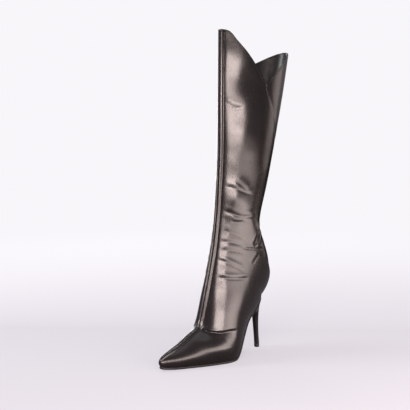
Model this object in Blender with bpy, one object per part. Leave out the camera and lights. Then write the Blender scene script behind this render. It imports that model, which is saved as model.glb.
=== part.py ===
"""Knee-high stiletto boot for the left foot, built as its maker would: upper, insole, outsole, heel and zip.

Metres, +Z up. The toe points along -Y, the outer (lateral) side is +X and the inner (medial) side -X.
The origin is on the floor under the middle of the heel tip.

The upper is a fan of flat sections. Each section runs from the centre-front seam to the sole, and above
the heel seat to the back of the boot, so the planes stand upright at the toe and lie flat in the shaft.
"""

from collections import namedtuple
from math import cos, pi, sin

import bmesh
import bpy
import numpy as np
from mathutils import Matrix, Vector

MM = 0.001

# Lengths and widths of the foot, from the middle of the heel tip
TOE_REACH = 205.0 * MM
SEAT_REACH = 4.8 * MM
BALL_HALF_WIDTH = 37.0 * MM
HEEL_HALF_WIDTH = 22.5 * MM

# Heights above the floor
SEAT_HEIGHT = 87.0 * MM
VAMP_HEIGHT = 48.0 * MM
ANKLE_HEIGHT = 180.0 * MM
FRONT_PEAK_HEIGHT = 523.0 * MM
BACK_PEAK_HEIGHT = 0.956 * FRONT_PEAK_HEIGHT
OUTER_NOTCH_HEIGHT = 0.8346 * FRONT_PEAK_HEIGHT
INNER_NOTCH_HEIGHT = 0.8643 * FRONT_PEAK_HEIGHT

# Girth of the shaft
CALF_DEPTH = 130.0 * MM
CALF_HALF_WIDTH = 43.0 * MM
ANKLE_HALF_WIDTH = 33.0 * MM

# Leather and soles
WALL = 1.6 * MM
OUTSOLE = 3.4 * MM
SEAT_OUTSOLE = 1.5 * MM
SOLE_MARGIN = 0.6 * MM
INSOLE = 2.0 * MM
INSOLE_INSET = 3.2 * MM
GAP = 0.3 * MM
STATION_CLEAR = 0.5 * MM
END_HALF_WIDTH = 0.4 * MM

# Raised centre-front seam
SEAM_HALF_WIDTH = 4.0 * MM
SEAM_SLOPE = 0.7 * MM
SEAM_LIFT = 1.2 * MM

# Heel tip
TIP_HALF_WIDTH = 4.4 * MM
TIP_HEIGHT = 6.0 * MM

# Zip
ZIP_END_HEIGHT = 75.0 * MM
ZIP_SLIT = 4.6 * MM
ZIP_TEETH = 3.6 * MM
ZIP_TAPE_WIDTH = 24.0 * MM
ZIP_TAPE = 0.6 * MM
SLIDER_WIDTH = 8.0 * MM
SLIDER_LENGTH = 11.0 * MM
SLIDER_PLATE = 1.5 * MM
EAR = 0.9 * MM
PIN_RADIUS = 0.65 * MM
PULL_WIDTH = 4.4 * MM
PULL_LENGTH = 28.0 * MM
PULL_THICK = 1.3 * MM
KNUCKLE_RADIUS = 1.75 * MM
KNUCKLE_WIDTH = 2.6 * MM
NECK_LENGTH = 1.6 * MM
NECK_WIDTH = 2.1 * MM
PLATE_CLEAR = 0.45 * MM
NOTCH_TO_SLIDER = 8.0 * MM
TAPE_CLEAR = 0.45 * MM
TAPE_FALL = 1.5 * MM
TEETH_DEPTH = 0.4 * MM

# Length of the zip's flat strips between two rings, and columns of the upper's grid, and points of one half section
STRIP_STEP = 12.0 * MM
SIDE_COLUMNS = 14
ZIP_FRONT_COLUMNS = 6
SAMPLES = 48

# Profile of the seat line, the top of the outsole, from the toe to the back of the heel.
# y is a share of TOE_REACH in front of the heel tip and of SEAT_REACH behind it.
# z is a share of the climb from the forefoot to the seat, and slope is dz/dy.
Profile = namedtuple("Profile", "y z slope")
SEAT_LINE = (
    Profile(-1.000, 0.038, -0.22),
    Profile(-0.835, 0.000, 0.00),
    Profile(-0.430, 0.000, 0.00),
    Profile(-0.291, 0.300, 1.30),
    Profile(-0.160, 0.700, 0.75),
    Profile(1.000, 1.000, 0.42),
)

# Outline of the seat line seen from above: half widths as shares of BALL_HALF_WIDTH.
Outline = namedtuple("Outline", "y outer inner")
OUTLINE = (
    Outline(-1.000, 0.000, 0.000),
    Outline(-0.990, 0.120, 0.120),
    Outline(-0.960, 0.185, 0.185),
    Outline(-0.920, 0.275, 0.270),
    Outline(-0.850, 0.430, 0.415),
    Outline(-0.750, 0.665, 0.630),
    Outline(-0.655, 0.870, 0.815),
    Outline(-0.570, 1.020, 0.905),
    Outline(-0.485, 1.120, 0.905),
    Outline(-0.400, 1.055, 0.800),
    Outline(-0.300, 0.820, 0.640),
    Outline(-0.200, 0.620, 0.560),
    Outline(-0.110, 0.560, 0.545),
    Outline(-0.050, 0.455, 0.445),
    Outline(0.000, 0.275, 0.270),
    Outline(0.600, 0.175, 0.175),
    Outline(1.000, 0.000, 0.000),
)

# Sections of the fan that end on the sole. front_y and sole_y are shares of TOE_REACH (of SEAT_REACH behind
# the heel tip), front_z is a share of VAMP_HEIGHT up to the bend and of ANKLE_HEIGHT above it, outer and inner
# are the widest half widths as shares of BALL_HALF_WIDTH, widest is where along the section they lie, and
# ridge and heel run from 1, a sharp front or back, to 2, a round one.
FootSection = namedtuple("FootSection", "front_y front_z height sole_y outer inner widest ridge heel")
FOOT = (
    FootSection(-1.000, 0.170, VAMP_HEIGHT, -1.000, 0.000, 0.000, 0.85, 2.00, 2.0),
    FootSection(-1.011, 0.240, VAMP_HEIGHT, -0.988, 0.115, 0.115, 0.85, 2.00, 2.0),
    FootSection(-1.009, 0.320, VAMP_HEIGHT, -0.966, 0.185, 0.185, 0.85, 1.90, 2.0),
    FootSection(-0.983, 0.420, VAMP_HEIGHT, -0.927, 0.285, 0.280, 0.80, 1.70, 2.0),
    FootSection(-0.914, 0.545, VAMP_HEIGHT, -0.840, 0.490, 0.480, 0.76, 1.55, 2.0),
    FootSection(-0.797, 0.755, VAMP_HEIGHT, -0.718, 0.775, 0.750, 0.73, 1.55, 2.0),
    FootSection(-0.709, 0.965, VAMP_HEIGHT, -0.602, 1.035, 0.940, 0.71, 1.60, 2.0),
    FootSection(-0.646, 1.110, VAMP_HEIGHT, -0.505, 1.200, 1.020, 0.69, 1.65, 2.0),
    FootSection(-0.606, 0.386, ANKLE_HEIGHT, -0.379, 1.210, 0.970, 0.64, 1.75, 2.0),
    FootSection(-0.569, 0.550, ANKLE_HEIGHT, -0.243, 1.060, 0.900, 0.54, 1.85, 2.0),
    FootSection(-0.521, 0.756, ANKLE_HEIGHT, -0.087, 0.945, 0.880, 0.49, 1.90, 1.8),
    FootSection(-0.478, 0.967, ANKLE_HEIGHT, 1.000, 0.900, 0.870, 0.48, 1.95, 1.7),
)

# Sections of the fan that close at the back. front_y and back_y are shares of CALF_DEPTH, front_z and back_z
# are heights as shares of ANKLE_HEIGHT at the ankle and of FRONT_PEAK_HEIGHT in the shaft, outer and inner
# are half widths as shares of ANKLE_HALF_WIDTH or CALF_HALF_WIDTH.
ShaftSection = namedtuple("ShaftSection", "front_y front_z back_y back_z height half outer inner widest ridge heel")
SHAFT = (
    ShaftSection(-0.708, 1.167, 0.190, 0.650, ANKLE_HEIGHT, ANKLE_HALF_WIDTH, 1.00, 0.98, 0.48, 1.90, 1.85),
    ShaftSection(-0.680, 1.328, 0.105, 0.900, ANKLE_HEIGHT, ANKLE_HALF_WIDTH, 1.00, 0.96, 0.48, 1.80, 1.8),
    ShaftSection(-0.662, 1.489, -0.028, 1.122, ANKLE_HEIGHT, ANKLE_HALF_WIDTH, 1.02, 0.95, 0.48, 1.60, 2.0),
    ShaftSection(-0.644, 0.570, 0.057, 0.482, FRONT_PEAK_HEIGHT, CALF_HALF_WIDTH, 0.81, 0.760, 0.48, 1.45, 2.0),
    ShaftSection(-0.628, 0.646, 0.189, 0.602, FRONT_PEAK_HEIGHT, CALF_HALF_WIDTH, 0.91, 0.870, 0.48, 1.40, 2.0),
    ShaftSection(-0.620, 0.740, 0.325, 0.740, FRONT_PEAK_HEIGHT, CALF_HALF_WIDTH, 0.98, 0.950, 0.48, 1.35, 2.0),
    ShaftSection(-0.610, 0.853, 0.440, 0.853, FRONT_PEAK_HEIGHT, CALF_HALF_WIDTH, 1.00, 0.988, 0.48, 1.35, 2.0),
    ShaftSection(-0.600, 1.002, 0.570, 1.002, FRONT_PEAK_HEIGHT, CALF_HALF_WIDTH, 0.98, 0.977, 0.48, 1.35, 2.0),
)

# Rows of the grid in each span between two sections, from the toe. The last span is cut by the topline.
ROWS_PER_SPAN = (1, 2, 2, 3, 3, 3, 3, 3, 3, 3, 5, 3, 3, 2, 2, 3, 3)
TOPLINE_ROWS = 9

# The topline: places round half of the collar, from the front seam to the back, and how far it stands
# between the notch (0) and the peak it climbs to (1).
Topline = namedtuple("Topline", "place climb")
FRONT_TOPLINE = (
    Topline(0.00, 1.00),
    Topline(0.055, 0.99),
    Topline(0.09, 0.96),
    Topline(0.12, 0.90),
    Topline(0.155, 0.80),
    Topline(0.245, 0.595),
    Topline(0.35, 0.32),
    Topline(0.42, 0.135),
    Topline(0.49, 0.00),
)
BACK_TOPLINE = (
    Topline(0.49, 0.00),
    Topline(0.57, 0.27),
    Topline(0.64, 0.46),
    Topline(0.75, 0.68),
    Topline(0.85, 0.86),
    Topline(0.93, 0.97),
    Topline(1.00, 1.00),
)
NOTCH_PLACE = 0.49

# The zip line: its place round the inner half of the upper.
ZIP_PLACE = NOTCH_PLACE

# The heel under its seat. front_y, the foremost point of a ring, and back_y are shares of TOE_REACH and
# SEAT_REACH, the two heights are shares of SEAT_HEIGHT, width is a share of HEEL_HALF_WIDTH, and oval
# blends the seat's outline (0) to an oval (1).
HeelRow = namedtuple("HeelRow", "front_y front_z back_y back_z width oval")
HEEL = (
    HeelRow(-0.1000, 0.715, 0.820, 0.920, 0.660, 0.50),
    HeelRow(-0.0540, 0.660, 0.600, 0.840, 0.420, 0.80),
    HeelRow(-0.0400, 0.585, 0.460, 0.745, 0.320, 0.95),
    HeelRow(-0.0365, 0.500, 0.400, 0.620, 0.265, 1.00),
    HeelRow(-0.0325, 0.390, 0.440, 0.460, 0.225, 1.00),
    HeelRow(-0.0265, 0.230, 0.620, 0.250, 0.197, 1.00),
)
HEEL_FRONT = -0.150
HEEL_TOP = 0.97
HEEL_FACE_POINTS = 7
HEEL_BACK_POINTS = 17
FACE_BULGE = 0.55

LEATHER = ("black leather", (0.012, 0.010, 0.011, 1.0), 0.30, 0.0)
SOLE = ("black sole", (0.010, 0.009, 0.010, 1.0), 0.55, 0.0)
LINING = ("dark insole lining", (0.020, 0.017, 0.018, 1.0), 0.60, 0.0)
HEEL_COVER = ("black heel cover", (0.013, 0.011, 0.014, 1.0), 0.35, 0.0)
TIP_RUBBER = ("black tip", (0.008, 0.008, 0.008, 1.0), 0.60, 0.0)
TAPE_CLOTH = ("black zip tape", (0.008, 0.008, 0.009, 1.0), 0.85, 0.0)
ZIP_METAL = ("black enamelled metal", (0.03, 0.03, 0.032, 1.0), 0.30, 0.9)


def spline(knots, values, at):
    """Natural cubic spline through (knots, values), read at the places at."""
    knots = np.asarray(knots, float)
    values = np.asarray(values, float)
    step = np.diff(knots)
    rise = np.diff(values) / step
    count = len(knots)
    system = np.eye(count)
    bend = np.zeros(count)
    for i in range(1, count - 1):
        system[i, i - 1 : i + 2] = step[i - 1], 2 * (step[i - 1] + step[i]), step[i]
        bend[i] = 6 * (rise[i] - rise[i - 1])
    bend = np.linalg.solve(system, bend)
    at = np.asarray(at, float)
    i = np.clip(np.searchsorted(knots, at) - 1, 0, count - 2)
    a = (knots[i + 1] - at) / step[i]
    b = 1 - a
    curve = ((a**3 - a) * bend[i] + (b**3 - b) * bend[i + 1]) * step[i] ** 2 / 6
    return a * values[i] + b * values[i + 1] + curve


def foot_y(share):
    """A place along the foot in metres from its share of the reach in front of or behind the heel tip."""
    return share * (TOE_REACH if share < 0 else SEAT_REACH)


SEAT_CLIMB = SEAT_HEIGHT - OUTSOLE
SEAT_KNOTS = np.array([(foot_y(row.y), OUTSOLE + row.z * SEAT_CLIMB, row.slope) for row in SEAT_LINE])
OUTLINE_KNOTS = np.array(
    [(foot_y(row.y), row.outer * BALL_HALF_WIDTH, row.inner * BALL_HALF_WIDTH) for row in OUTLINE]
)


def seat(y):
    """Height of the seat line and its slope at the places y, by cubic pieces with the table's slopes."""
    y = np.asarray(y, float)
    i = np.clip(np.searchsorted(SEAT_KNOTS[:, 0], y) - 1, 0, len(SEAT_KNOTS) - 2)
    start, end = SEAT_KNOTS[i], SEAT_KNOTS[i + 1]
    length = end[..., 0] - start[..., 0]
    t = (y - start[..., 0]) / length
    height = (
        (2 * t**3 - 3 * t**2 + 1) * start[..., 1]
        + (t**3 - 2 * t**2 + t) * length * start[..., 2]
        + (3 * t**2 - 2 * t**3) * end[..., 1]
        + (t**3 - t**2) * length * end[..., 2]
    )
    rate = (
        (6 * t**2 - 6 * t) * (start[..., 1] - end[..., 1]) / length
        + (3 * t**2 - 4 * t + 1) * start[..., 2]
        + (3 * t**2 - 2 * t) * end[..., 2]
    )
    return height, rate


def outline(y, side):
    """Half width of the seat line at y on one side: +1 outer, -1 inner. Squares keep both ends round."""
    squares = OUTLINE_KNOTS[:, 1 if side > 0 else 2] ** 2
    return np.sqrt(np.maximum(spline(OUTLINE_KNOTS[:, 0], squares, y), 0.0))


def rim_point(y):
    """Where the upper's lower edge stands over the seat line at y, one gap clear of the outsole."""
    height, rate = seat(y)
    lift = GAP / float(np.hypot(1.0, rate))
    return y - float(rate) * lift, float(height) + lift


def fan_knots():
    """The fan's sections, a row each: front y and z, back y and z, outer, inner, widest, ridge, heel."""
    rows = []
    for row in FOOT:
        back = foot_y(row.sole_y)
        rows.append(
            (
                row.front_y * TOE_REACH,
                row.front_z * row.height,
                back,
                float(seat(back)[0]),
                row.outer * BALL_HALF_WIDTH,
                row.inner * BALL_HALF_WIDTH,
                row.widest,
                row.ridge,
                row.heel,
            )
        )
    for row in SHAFT:
        rows.append(
            (
                row.front_y * CALF_DEPTH,
                row.front_z * row.height,
                row.back_y * CALF_DEPTH,
                row.back_z * row.height,
                row.outer * row.half,
                row.inner * row.half,
                row.widest,
                row.ridge,
                row.heel,
            )
        )
    rows = np.array(rows)
    rows[0, 0:2] = rim_point(-TOE_REACH)
    return rows


FAN = fan_knots()
FAN_STEPS = 0.5 * (
    np.hypot(*np.diff(FAN[:, 0:2], axis=0).T) + np.hypot(*np.diff(FAN[:, 2:4], axis=0).T)
)
FAN_AT = np.concatenate([[0.0], np.cumsum(FAN_STEPS)])
HEEL_ROW = len(FOOT) - 1


def half_section(at, side):
    """Points of one half section at the place at along the fan, from the front ridge to its end."""
    front_y, front_z, back_y, back_z, outer, inner, widest, ridge, heel = (
        float(spline(FAN_AT, FAN[:, i], at)) for i in range(FAN.shape[1])
    )
    if at <= FAN_AT[HEEL_ROW]:
        back_y = min(max(back_y, -TOE_REACH), SEAT_REACH)
        end = float(outline(back_y, side))
        back_y, back_z = rim_point(back_y)
    else:
        end = 0.0
    wide = max(outer if side > 0 else inner, end * 1.01, 1e-9)
    turn = np.arccos(min(end / wide, 1.0) ** (heel / 2))
    angle = np.linspace(0.0, pi / 2, SAMPLES)
    fore = widest * (1 - np.cos(angle))
    fore_width = wide * np.sin(angle) ** (2 / ridge)
    angle = np.linspace(0.0, turn, SAMPLES)[1:]
    aft = widest + (1 - widest) * np.sin(angle) / np.sin(turn)
    aft_width = wide * np.cos(angle) ** (2 / heel)
    aft_width[-1] = end
    along = np.concatenate([fore, aft])
    width = np.concatenate([fore_width, aft_width])
    return np.stack(
        [
            side * width,
            front_y + along * (back_y - front_y),
            front_z + along * (back_z - front_z),
        ],
        axis=1,
    )


def arc_points(points, places):
    """Points at the places along a polyline, given as lengths, and its full length when places is None."""
    steps = np.linalg.norm(np.diff(points, axis=0), axis=1)
    reach = np.concatenate([[0.0], np.cumsum(steps)])
    if places is None:
        return reach[-1]
    return np.stack([np.interp(places, reach, points[:, k]) for k in range(3)], axis=1)


def column_places(length, side):
    """Places of the grid's columns along a half section: the raised seam, then the side, with the zip's slit."""
    seam = min(SEAM_HALF_WIDTH, 0.2 * length)
    slope = min(SEAM_SLOPE, 0.05 * length)
    near = [0.0, seam, seam + slope]
    if side > 0:
        far = np.linspace(near[-1], length, SIDE_COLUMNS + 1)[1:]
    else:
        slit = min(ZIP_SLIT / 2, 0.06 * length)
        middle = near[-1] + ZIP_PLACE * (length - near[-1])
        fore = np.linspace(near[-1], middle - slit, ZIP_FRONT_COLUMNS + 1)[1:]
        aft = np.linspace(middle + slit, length, SIDE_COLUMNS - ZIP_FRONT_COLUMNS)
        far = np.concatenate([fore, aft])
    return np.concatenate([near, far])


SIDE = SIDE_COLUMNS + 2
ZIP_COLUMN = SIDE - (2 + ZIP_FRONT_COLUMNS) - 1


def upper_lattice(places):
    """Outer points of the upper at the places along the fan: inner side, front seam, outer side."""
    rows = []
    for at in places:
        halves = []
        for side in (-1, 1):
            points = half_section(at, side)
            halves.append(arc_points(points, column_places(arc_points(points, None), side)))
        rows.append(np.concatenate([halves[0][:0:-1], halves[1]]))
    return np.array(rows)


def normals(grid):
    """Unit normals of a grid of points, facing out of the upper."""
    along = np.gradient(grid, axis=0)
    across = np.gradient(grid, axis=1)
    out = np.cross(across, along)
    return out / np.maximum(np.linalg.norm(out, axis=2, keepdims=True), 1e-12)


def closed_normals(grid, closed_from):
    """Normals of the upper's grid, made even where its two sides meet at the back and at the toe's point."""
    out = normals(grid)
    back = out[closed_from:, 0] + out[closed_from:, -1]
    back[:, 0] = 0.0
    out[closed_from:, 0] = back
    out[closed_from:, -1] = back
    out[0] = (0.0, -1.0, 0.0)
    return out / np.maximum(np.linalg.norm(out, axis=2, keepdims=True), 1e-12)


def topline_height(place, side):
    """Height of the topline at a place round the collar, 0 at the front seam and 1 at the back."""
    notch = OUTER_NOTCH_HEIGHT if side > 0 else INNER_NOTCH_HEIGHT
    if place < NOTCH_PLACE:
        table, peak = FRONT_TOPLINE, FRONT_PEAK_HEIGHT
    else:
        table, peak = BACK_TOPLINE, BACK_PEAK_HEIGHT
    climb = np.interp(place, [row.place for row in table], [row.climb for row in table])
    return notch + climb * (peak - notch)


def fan_rows():
    """Places of the grid's rows below the topline's rows, closer together near the toe and the heel's back."""
    places = [FAN_AT[0]]
    for span, count in enumerate(ROWS_PER_SPAN):
        shares = np.arange(1, count + 1) / count
        if span == HEEL_ROW - 1:
            shares = np.sin(shares * pi / 2)
        places.extend(FAN_AT[span] + shares * (FAN_AT[span + 1] - FAN_AT[span]))
    return np.array(places)


def cut_by_topline(lattice, base_row):
    """The grid with its rows above base_row spread, column by column, from there to the topline."""
    shares = np.linspace(0.0, 1.0, TOPLINE_ROWS + 1)[1:]
    top = lattice[base_row:]
    columns = []
    for column in range(lattice.shape[1]):
        side = 1 if column >= SIDE else -1
        line = top[:, column]
        ring = np.linalg.norm(np.diff(top[0], axis=0), axis=1)
        half = ring[SIDE:] if side > 0 else ring[:SIDE][::-1]
        place = half[: abs(column - SIDE)].sum() / half.sum()
        height = topline_height(place, side)
        levels = line[0, 2] + shares * (height - line[0, 2])
        columns.append(np.stack([np.interp(levels, line[:, 2], line[:, k]) for k in range(3)], axis=1))
    return np.concatenate([lattice[: base_row + 1], np.stack(columns, axis=1)])


def upper_grid():
    """Outer grid of the upper, and the row from which its two sides meet at the back."""
    places = fan_rows()
    base_row = len(places) - 1
    closed_from = int(np.argmin(np.abs(places - FAN_AT[HEEL_ROW])))
    extra = np.linspace(places[-1], FAN_AT[-1] * 1.001, 12)[1:]
    lattice = upper_lattice(np.concatenate([places, extra]))
    return cut_by_topline(lattice, base_row), closed_from


def seam_lift(grid, out):
    """The grid with the raised centre-front seam stood out from it."""
    lifted = grid.copy()
    for column in (SIDE - 1, SIDE, SIDE + 1):
        span = np.linalg.norm(grid[:, SIDE + 1] - grid[:, SIDE], axis=1, keepdims=True)
        lifted[:, column] += out[:, column] * SEAM_LIFT * np.minimum(span / SEAM_HALF_WIDTH, 1.0)
    return lifted


def shell_mesh(name, outer, inner, keep, welded_ends=0):
    """A wall between two grids. Cells where keep is False are left open and their edges are closed by a rim.

    From the row welded_ends the first and last columns are one line, so they get no rim; 0 is never.
    """
    rows, columns = outer.shape[:2]
    points = np.concatenate([outer.reshape(-1, 3), inner.reshape(-1, 3)])
    offset = rows * columns

    def kept(row, column):
        if welded_ends and row >= welded_ends:
            column %= columns - 1
        return 0 <= row < rows - 1 and 0 <= column < columns - 1 and keep[row, column]

    faces = []
    for row in range(rows - 1):
        for column in range(columns - 1):
            if not keep[row, column]:
                continue
            a = row * columns + column
            loop = (a, a + 1, a + columns + 1, a + columns)
            faces.append(loop)
            faces.append(tuple(offset + i for i in reversed(loop)))
            beyond = ((row - 1, column), (row, column + 1), (row + 1, column), (row, column - 1))
            for k, neighbour in enumerate(beyond):
                if not kept(*neighbour):
                    u, v = loop[k], loop[(k + 1) % 4]
                    faces.append((v, u, offset + u, offset + v))
    return solid(name, points, faces)


def solid(name, points, faces):
    """One closed object from points and faces, with doubled points welded and its faces facing out."""
    mesh = bpy.data.meshes.new(name)
    mesh.from_pydata([tuple(p) for p in points], [], faces)
    work = bmesh.new()
    work.from_mesh(mesh)
    bmesh.ops.remove_doubles(work, verts=work.verts, dist=1e-6)
    bmesh.ops.triangulate(work, faces=work.faces)
    bmesh.ops.recalc_face_normals(work, faces=work.faces)
    work.to_mesh(mesh)
    work.free()
    thing = bpy.data.objects.new(name, mesh)
    bpy.context.scene.collection.objects.link(thing)
    return thing


def finish(thing, look):
    """Give an object its material and smooth faces up to 40 degrees apart."""
    label, colour, roughness, metallic = look
    material = bpy.data.materials.get(label)
    if material is None:
        material = bpy.data.materials.new(label)
        material.use_nodes = True
        shader = material.node_tree.nodes["Principled BSDF"]
        shader.inputs["Base Color"].default_value = colour
        shader.inputs["Roughness"].default_value = roughness
        shader.inputs["Metallic"].default_value = metallic
    thing.data.materials.append(material)
    thing.data.shade_smooth()
    thing.data.set_sharp_from_angle(angle=40 * pi / 180)
    return thing


def loft(name, rings):
    """A closed object through rings of equal count, with flat fans on both ends."""
    count = len(rings[0])
    points = [tuple(p) for ring in rings for p in ring]
    faces = []
    for row in range(len(rings) - 1):
        for i in range(count):
            j = (i + 1) % count
            a, b = row * count, (row + 1) * count
            faces.append((a + i, a + j, b + j, b + i))
    faces.append(tuple(reversed(range(count))))
    last = (len(rings) - 1) * count
    faces.append(tuple(last + i for i in range(count)))
    return solid(name, points, faces)


def make_upper():
    """The hollow leather upper: foot and shaft in one wall, open at the topline, underneath and at the zip."""
    grid, closed_from = upper_grid()
    out = closed_normals(grid, closed_from)
    inner = grid - out * WALL
    for column in range(grid.shape[1]):
        side = np.sign(column - SIDE)
        if side:
            least = 0.15 * np.abs(grid[:, column, 0])
            inner[:, column, 0] = side * np.maximum(side * inner[:, column, 0], least)
        else:
            inner[:, column, 0] = 0.0
    keep = np.ones((grid.shape[0] - 1, grid.shape[1] - 1), bool)
    keep[zip_end_row() :, ZIP_COLUMN] = False
    return finish(shell_mesh("upper", seam_lift(grid, out), inner, keep, closed_from), LEATHER)


def zip_end_row():
    """Row of the upper's grid where the zip's slit begins: the one whose zip point lies nearest its height."""
    heights = []
    for at in fan_rows():
        points = half_section(at, -1)
        heights.append(arc_points(points, [ZIP_PLACE * arc_points(points, None)])[0, 2])
    return int(np.argmin(np.abs(np.array(heights) - ZIP_END_HEIGHT)))


def zip_line():
    """Places along the fan for the zip's rows, from its lower end to the topline, with the zip line's points."""
    places = fan_rows()[zip_end_row() :]
    extra = np.linspace(places[-1], FAN_AT[-1], 30)[1:]
    return np.concatenate([places, extra])


def zip_strip(half_width, columns, below, above):
    """Grid of outer points across the zip line, from its lower end plus below to the topline less above."""
    rows = []
    for at in zip_line():
        points = half_section(at, -1)
        places = column_places(arc_points(points, None), -1)
        facets = arc_points(points, places)
        reach = np.concatenate([[0.0], np.cumsum(np.linalg.norm(np.diff(facets, axis=0), axis=1))])
        middle = reach[2 + ZIP_FRONT_COLUMNS : 4 + ZIP_FRONT_COLUMNS].mean()
        rows.append(arc_points(facets, middle - np.linspace(-half_width, half_width, columns)))
    lattice = np.array(rows)
    middle = lattice[:, columns // 2]
    run = np.concatenate([[0.0], np.cumsum(np.linalg.norm(np.diff(middle, axis=0), axis=1))])
    top = np.interp(INNER_NOTCH_HEIGHT, middle[:, 2], run) - above
    shared = run[: len(fan_rows()) - zip_end_row()]
    count = max(4, int(round((top - shared[-1]) / STRIP_STEP)))
    levels = np.concatenate([[below], shared[1:], np.linspace(shared[-1], top, count + 1)[1:]])
    return np.stack(
        [
            np.stack([np.interp(levels, run, lattice[:, c, k]) for k in range(3)], axis=1)
            for c in range(columns)
        ],
        axis=1,
    )


def zip_part(name, half_width, columns, below, above, high, low, look):
    """A flat strip of the zip that follows the upper between two depths below its outer face."""
    grid = zip_strip(half_width, columns, below, above)
    out = normals(grid)
    keep = np.ones((grid.shape[0] - 1, grid.shape[1] - 1), bool)
    return finish(shell_mesh(name, grid - out * high, grid - out * low, keep), look)


def sole_stations(inset):
    """Places along the sole where the upper's rows stand on it, ending inset from the toe and the heel's back."""
    rows = fan_rows()
    rows = rows[rows <= FAN_AT[HEEL_ROW] + 1e-9]
    places = spline(FAN_AT, FAN[:, 2], rows)
    front, back = inset - TOE_REACH, SEAT_REACH - inset
    places = [y for y in places if front + STATION_CLEAR < y < back - STATION_CLEAR]
    return [front, *places, back]


# Cross-section of a plate's edge, from its upper face down: how far in from the edge and how far down,
# as shares of its thickness.
PLATE_EDGE = ((0.0, 0.0), (0.0, 0.45), (0.25, 0.85), (0.6, 1.0))
INSOLE_EDGE = ((0.0, 0.0), (0.0, 1.0))


def make_plate(name, inset, high, thickness, edge, look):
    """A sole or insole: a plate along the seat line, inset from the outline, its upper face high over it.

    thickness gives the plate's depth at a place y, and edge its rounding.
    """
    rings = []
    for y in sole_stations(inset):
        height, rate = seat(y)
        lean = np.array([-float(rate), 1.0]) / np.hypot(1.0, float(rate))
        depth = thickness(y)
        halves = []
        for side in (-1, 1):
            half_width = max(float(outline(np.clip(y, -TOE_REACH, SEAT_REACH), side)) - inset, END_HALF_WIDTH)
            half = []
            for inward, down in edge:
                level = high - down * depth
                across = max(half_width - inward * depth, 0.5 * END_HALF_WIDTH)
                half.append((side * across, y + lean[0] * level, float(height) + lean[1] * level))
            halves.append(half)
        rings.append(halves[0] + halves[1][::-1])
    return finish(loft(name, rings), look)


def clear():
    """Remove every object of the scene."""
    for thing in list(bpy.data.objects):
        bpy.data.objects.remove(thing, do_unlink=True)


def outsole_thickness(y):
    """Thickness of the outsole: full under the forefoot, thinner through the waist to the heel seat."""
    share = np.clip((y - SEAT_KNOTS[2, 0]) / (SEAT_KNOTS[4, 0] - SEAT_KNOTS[2, 0]), 0.0, 1.0)
    return OUTSOLE + (SEAT_OUTSOLE - OUTSOLE) * share * share * (3 - 2 * share)


def heel_outline(front, back, width, oval):
    """A ring of the heel seen from above: its back follows the seat or an oval, its breast bulges forward."""
    seat_front = HEEL_FRONT * TOE_REACH
    breast_width = float(outline(seat_front, 1))
    bulge = FACE_BULGE * oval * width
    corner = front + bulge
    ring = []
    for i in range(HEEL_BACK_POINTS):
        angle = pi * i / (HEEL_BACK_POINTS - 1)
        share = sin(angle)
        seat_y = seat_front + share * (SEAT_REACH - seat_front)
        side = 1 if i < HEEL_BACK_POINTS // 2 else -1
        seat_x = side * float(outline(seat_y, side)) / breast_width if 0 < share < 1 else cos(angle)
        ring.append((width * (oval * cos(angle) + (1 - oval) * seat_x), corner + share * (back - corner)))
    for i in range(1, HEEL_FACE_POINTS):
        share = -1 + 2 * i / HEEL_FACE_POINTS
        ring.append((width * share, corner - bulge * (1 - share * share)))
    return ring


def seated_ring():
    """The heel's top: the seat's outline, one gap under the outsole."""
    ring = []
    clearance = SEAT_OUTSOLE + GAP
    width = HEEL_TOP * float(outline(HEEL_FRONT * TOE_REACH, 1))
    for x, y in heel_outline(HEEL_FRONT * TOE_REACH, SEAT_REACH, width, 0.0):
        height, rate = seat(y)
        lower = clearance / float(np.hypot(1.0, rate))
        ring.append((x, y + float(rate) * lower, float(height) - lower))
    return ring


def tip_ring(height):
    """The outline of the heel tip at a height."""
    ring = heel_outline(-TIP_HALF_WIDTH, TIP_HALF_WIDTH, TIP_HALF_WIDTH, 1.0)
    return [(x, y, height) for x, y in ring]


def make_heel():
    """The covered stiletto heel: its top follows the seat, its foot is the oval that the tip carries."""
    rings = [seated_ring()]
    for row in HEEL:
        front, back = row.front_y * TOE_REACH, row.back_y * SEAT_REACH
        ring = []
        for x, y in heel_outline(front, back, row.width * HEEL_HALF_WIDTH, row.oval):
            share = (y - front) / (back - front)
            ring.append((x, y, (row.front_z + share * (row.back_z - row.front_z)) * SEAT_HEIGHT))
        rings.append(ring)
    rings.append(tip_ring(TIP_HEIGHT + GAP))
    return finish(loft("heel", rings), HEEL_COVER)


def make_tip():
    """The heel tip, which carries the heel on the floor."""
    return finish(loft("heel_tip", [tip_ring(TIP_HEIGHT), tip_ring(0.0)]), TIP_RUBBER)


def prism(name, profile, low, high, place):
    """A profile carried from low to high along a third direction: place turns (a, b, along) into a point."""
    return loft(name, [[place(a, b, along) for a, b in profile] for along in (low, high)])


def joined(name, things):
    """One solid from overlapping solids."""
    body = things[0]
    body.name = name
    body.data.name = name
    for other in things[1:]:
        union = body.modifiers.new("union", "BOOLEAN")
        union.operation = "UNION"
        union.solver = "EXACT"
        union.object = other
    bpy.context.view_layer.update()
    shape = bpy.data.meshes.new_from_object(body.evaluated_get(bpy.context.evaluated_depsgraph_get()))
    body.modifiers.clear()
    body.data = shape
    for other in things[1:]:
        bpy.data.objects.remove(other, do_unlink=True)
    return body


def circle(radius, middle_a, middle_b, count=20):
    """Corners of a circle in a plane."""
    return [
        (middle_a + radius * cos(2 * pi * i / count), middle_b + radius * sin(2 * pi * i / count))
        for i in range(count)
    ]


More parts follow.
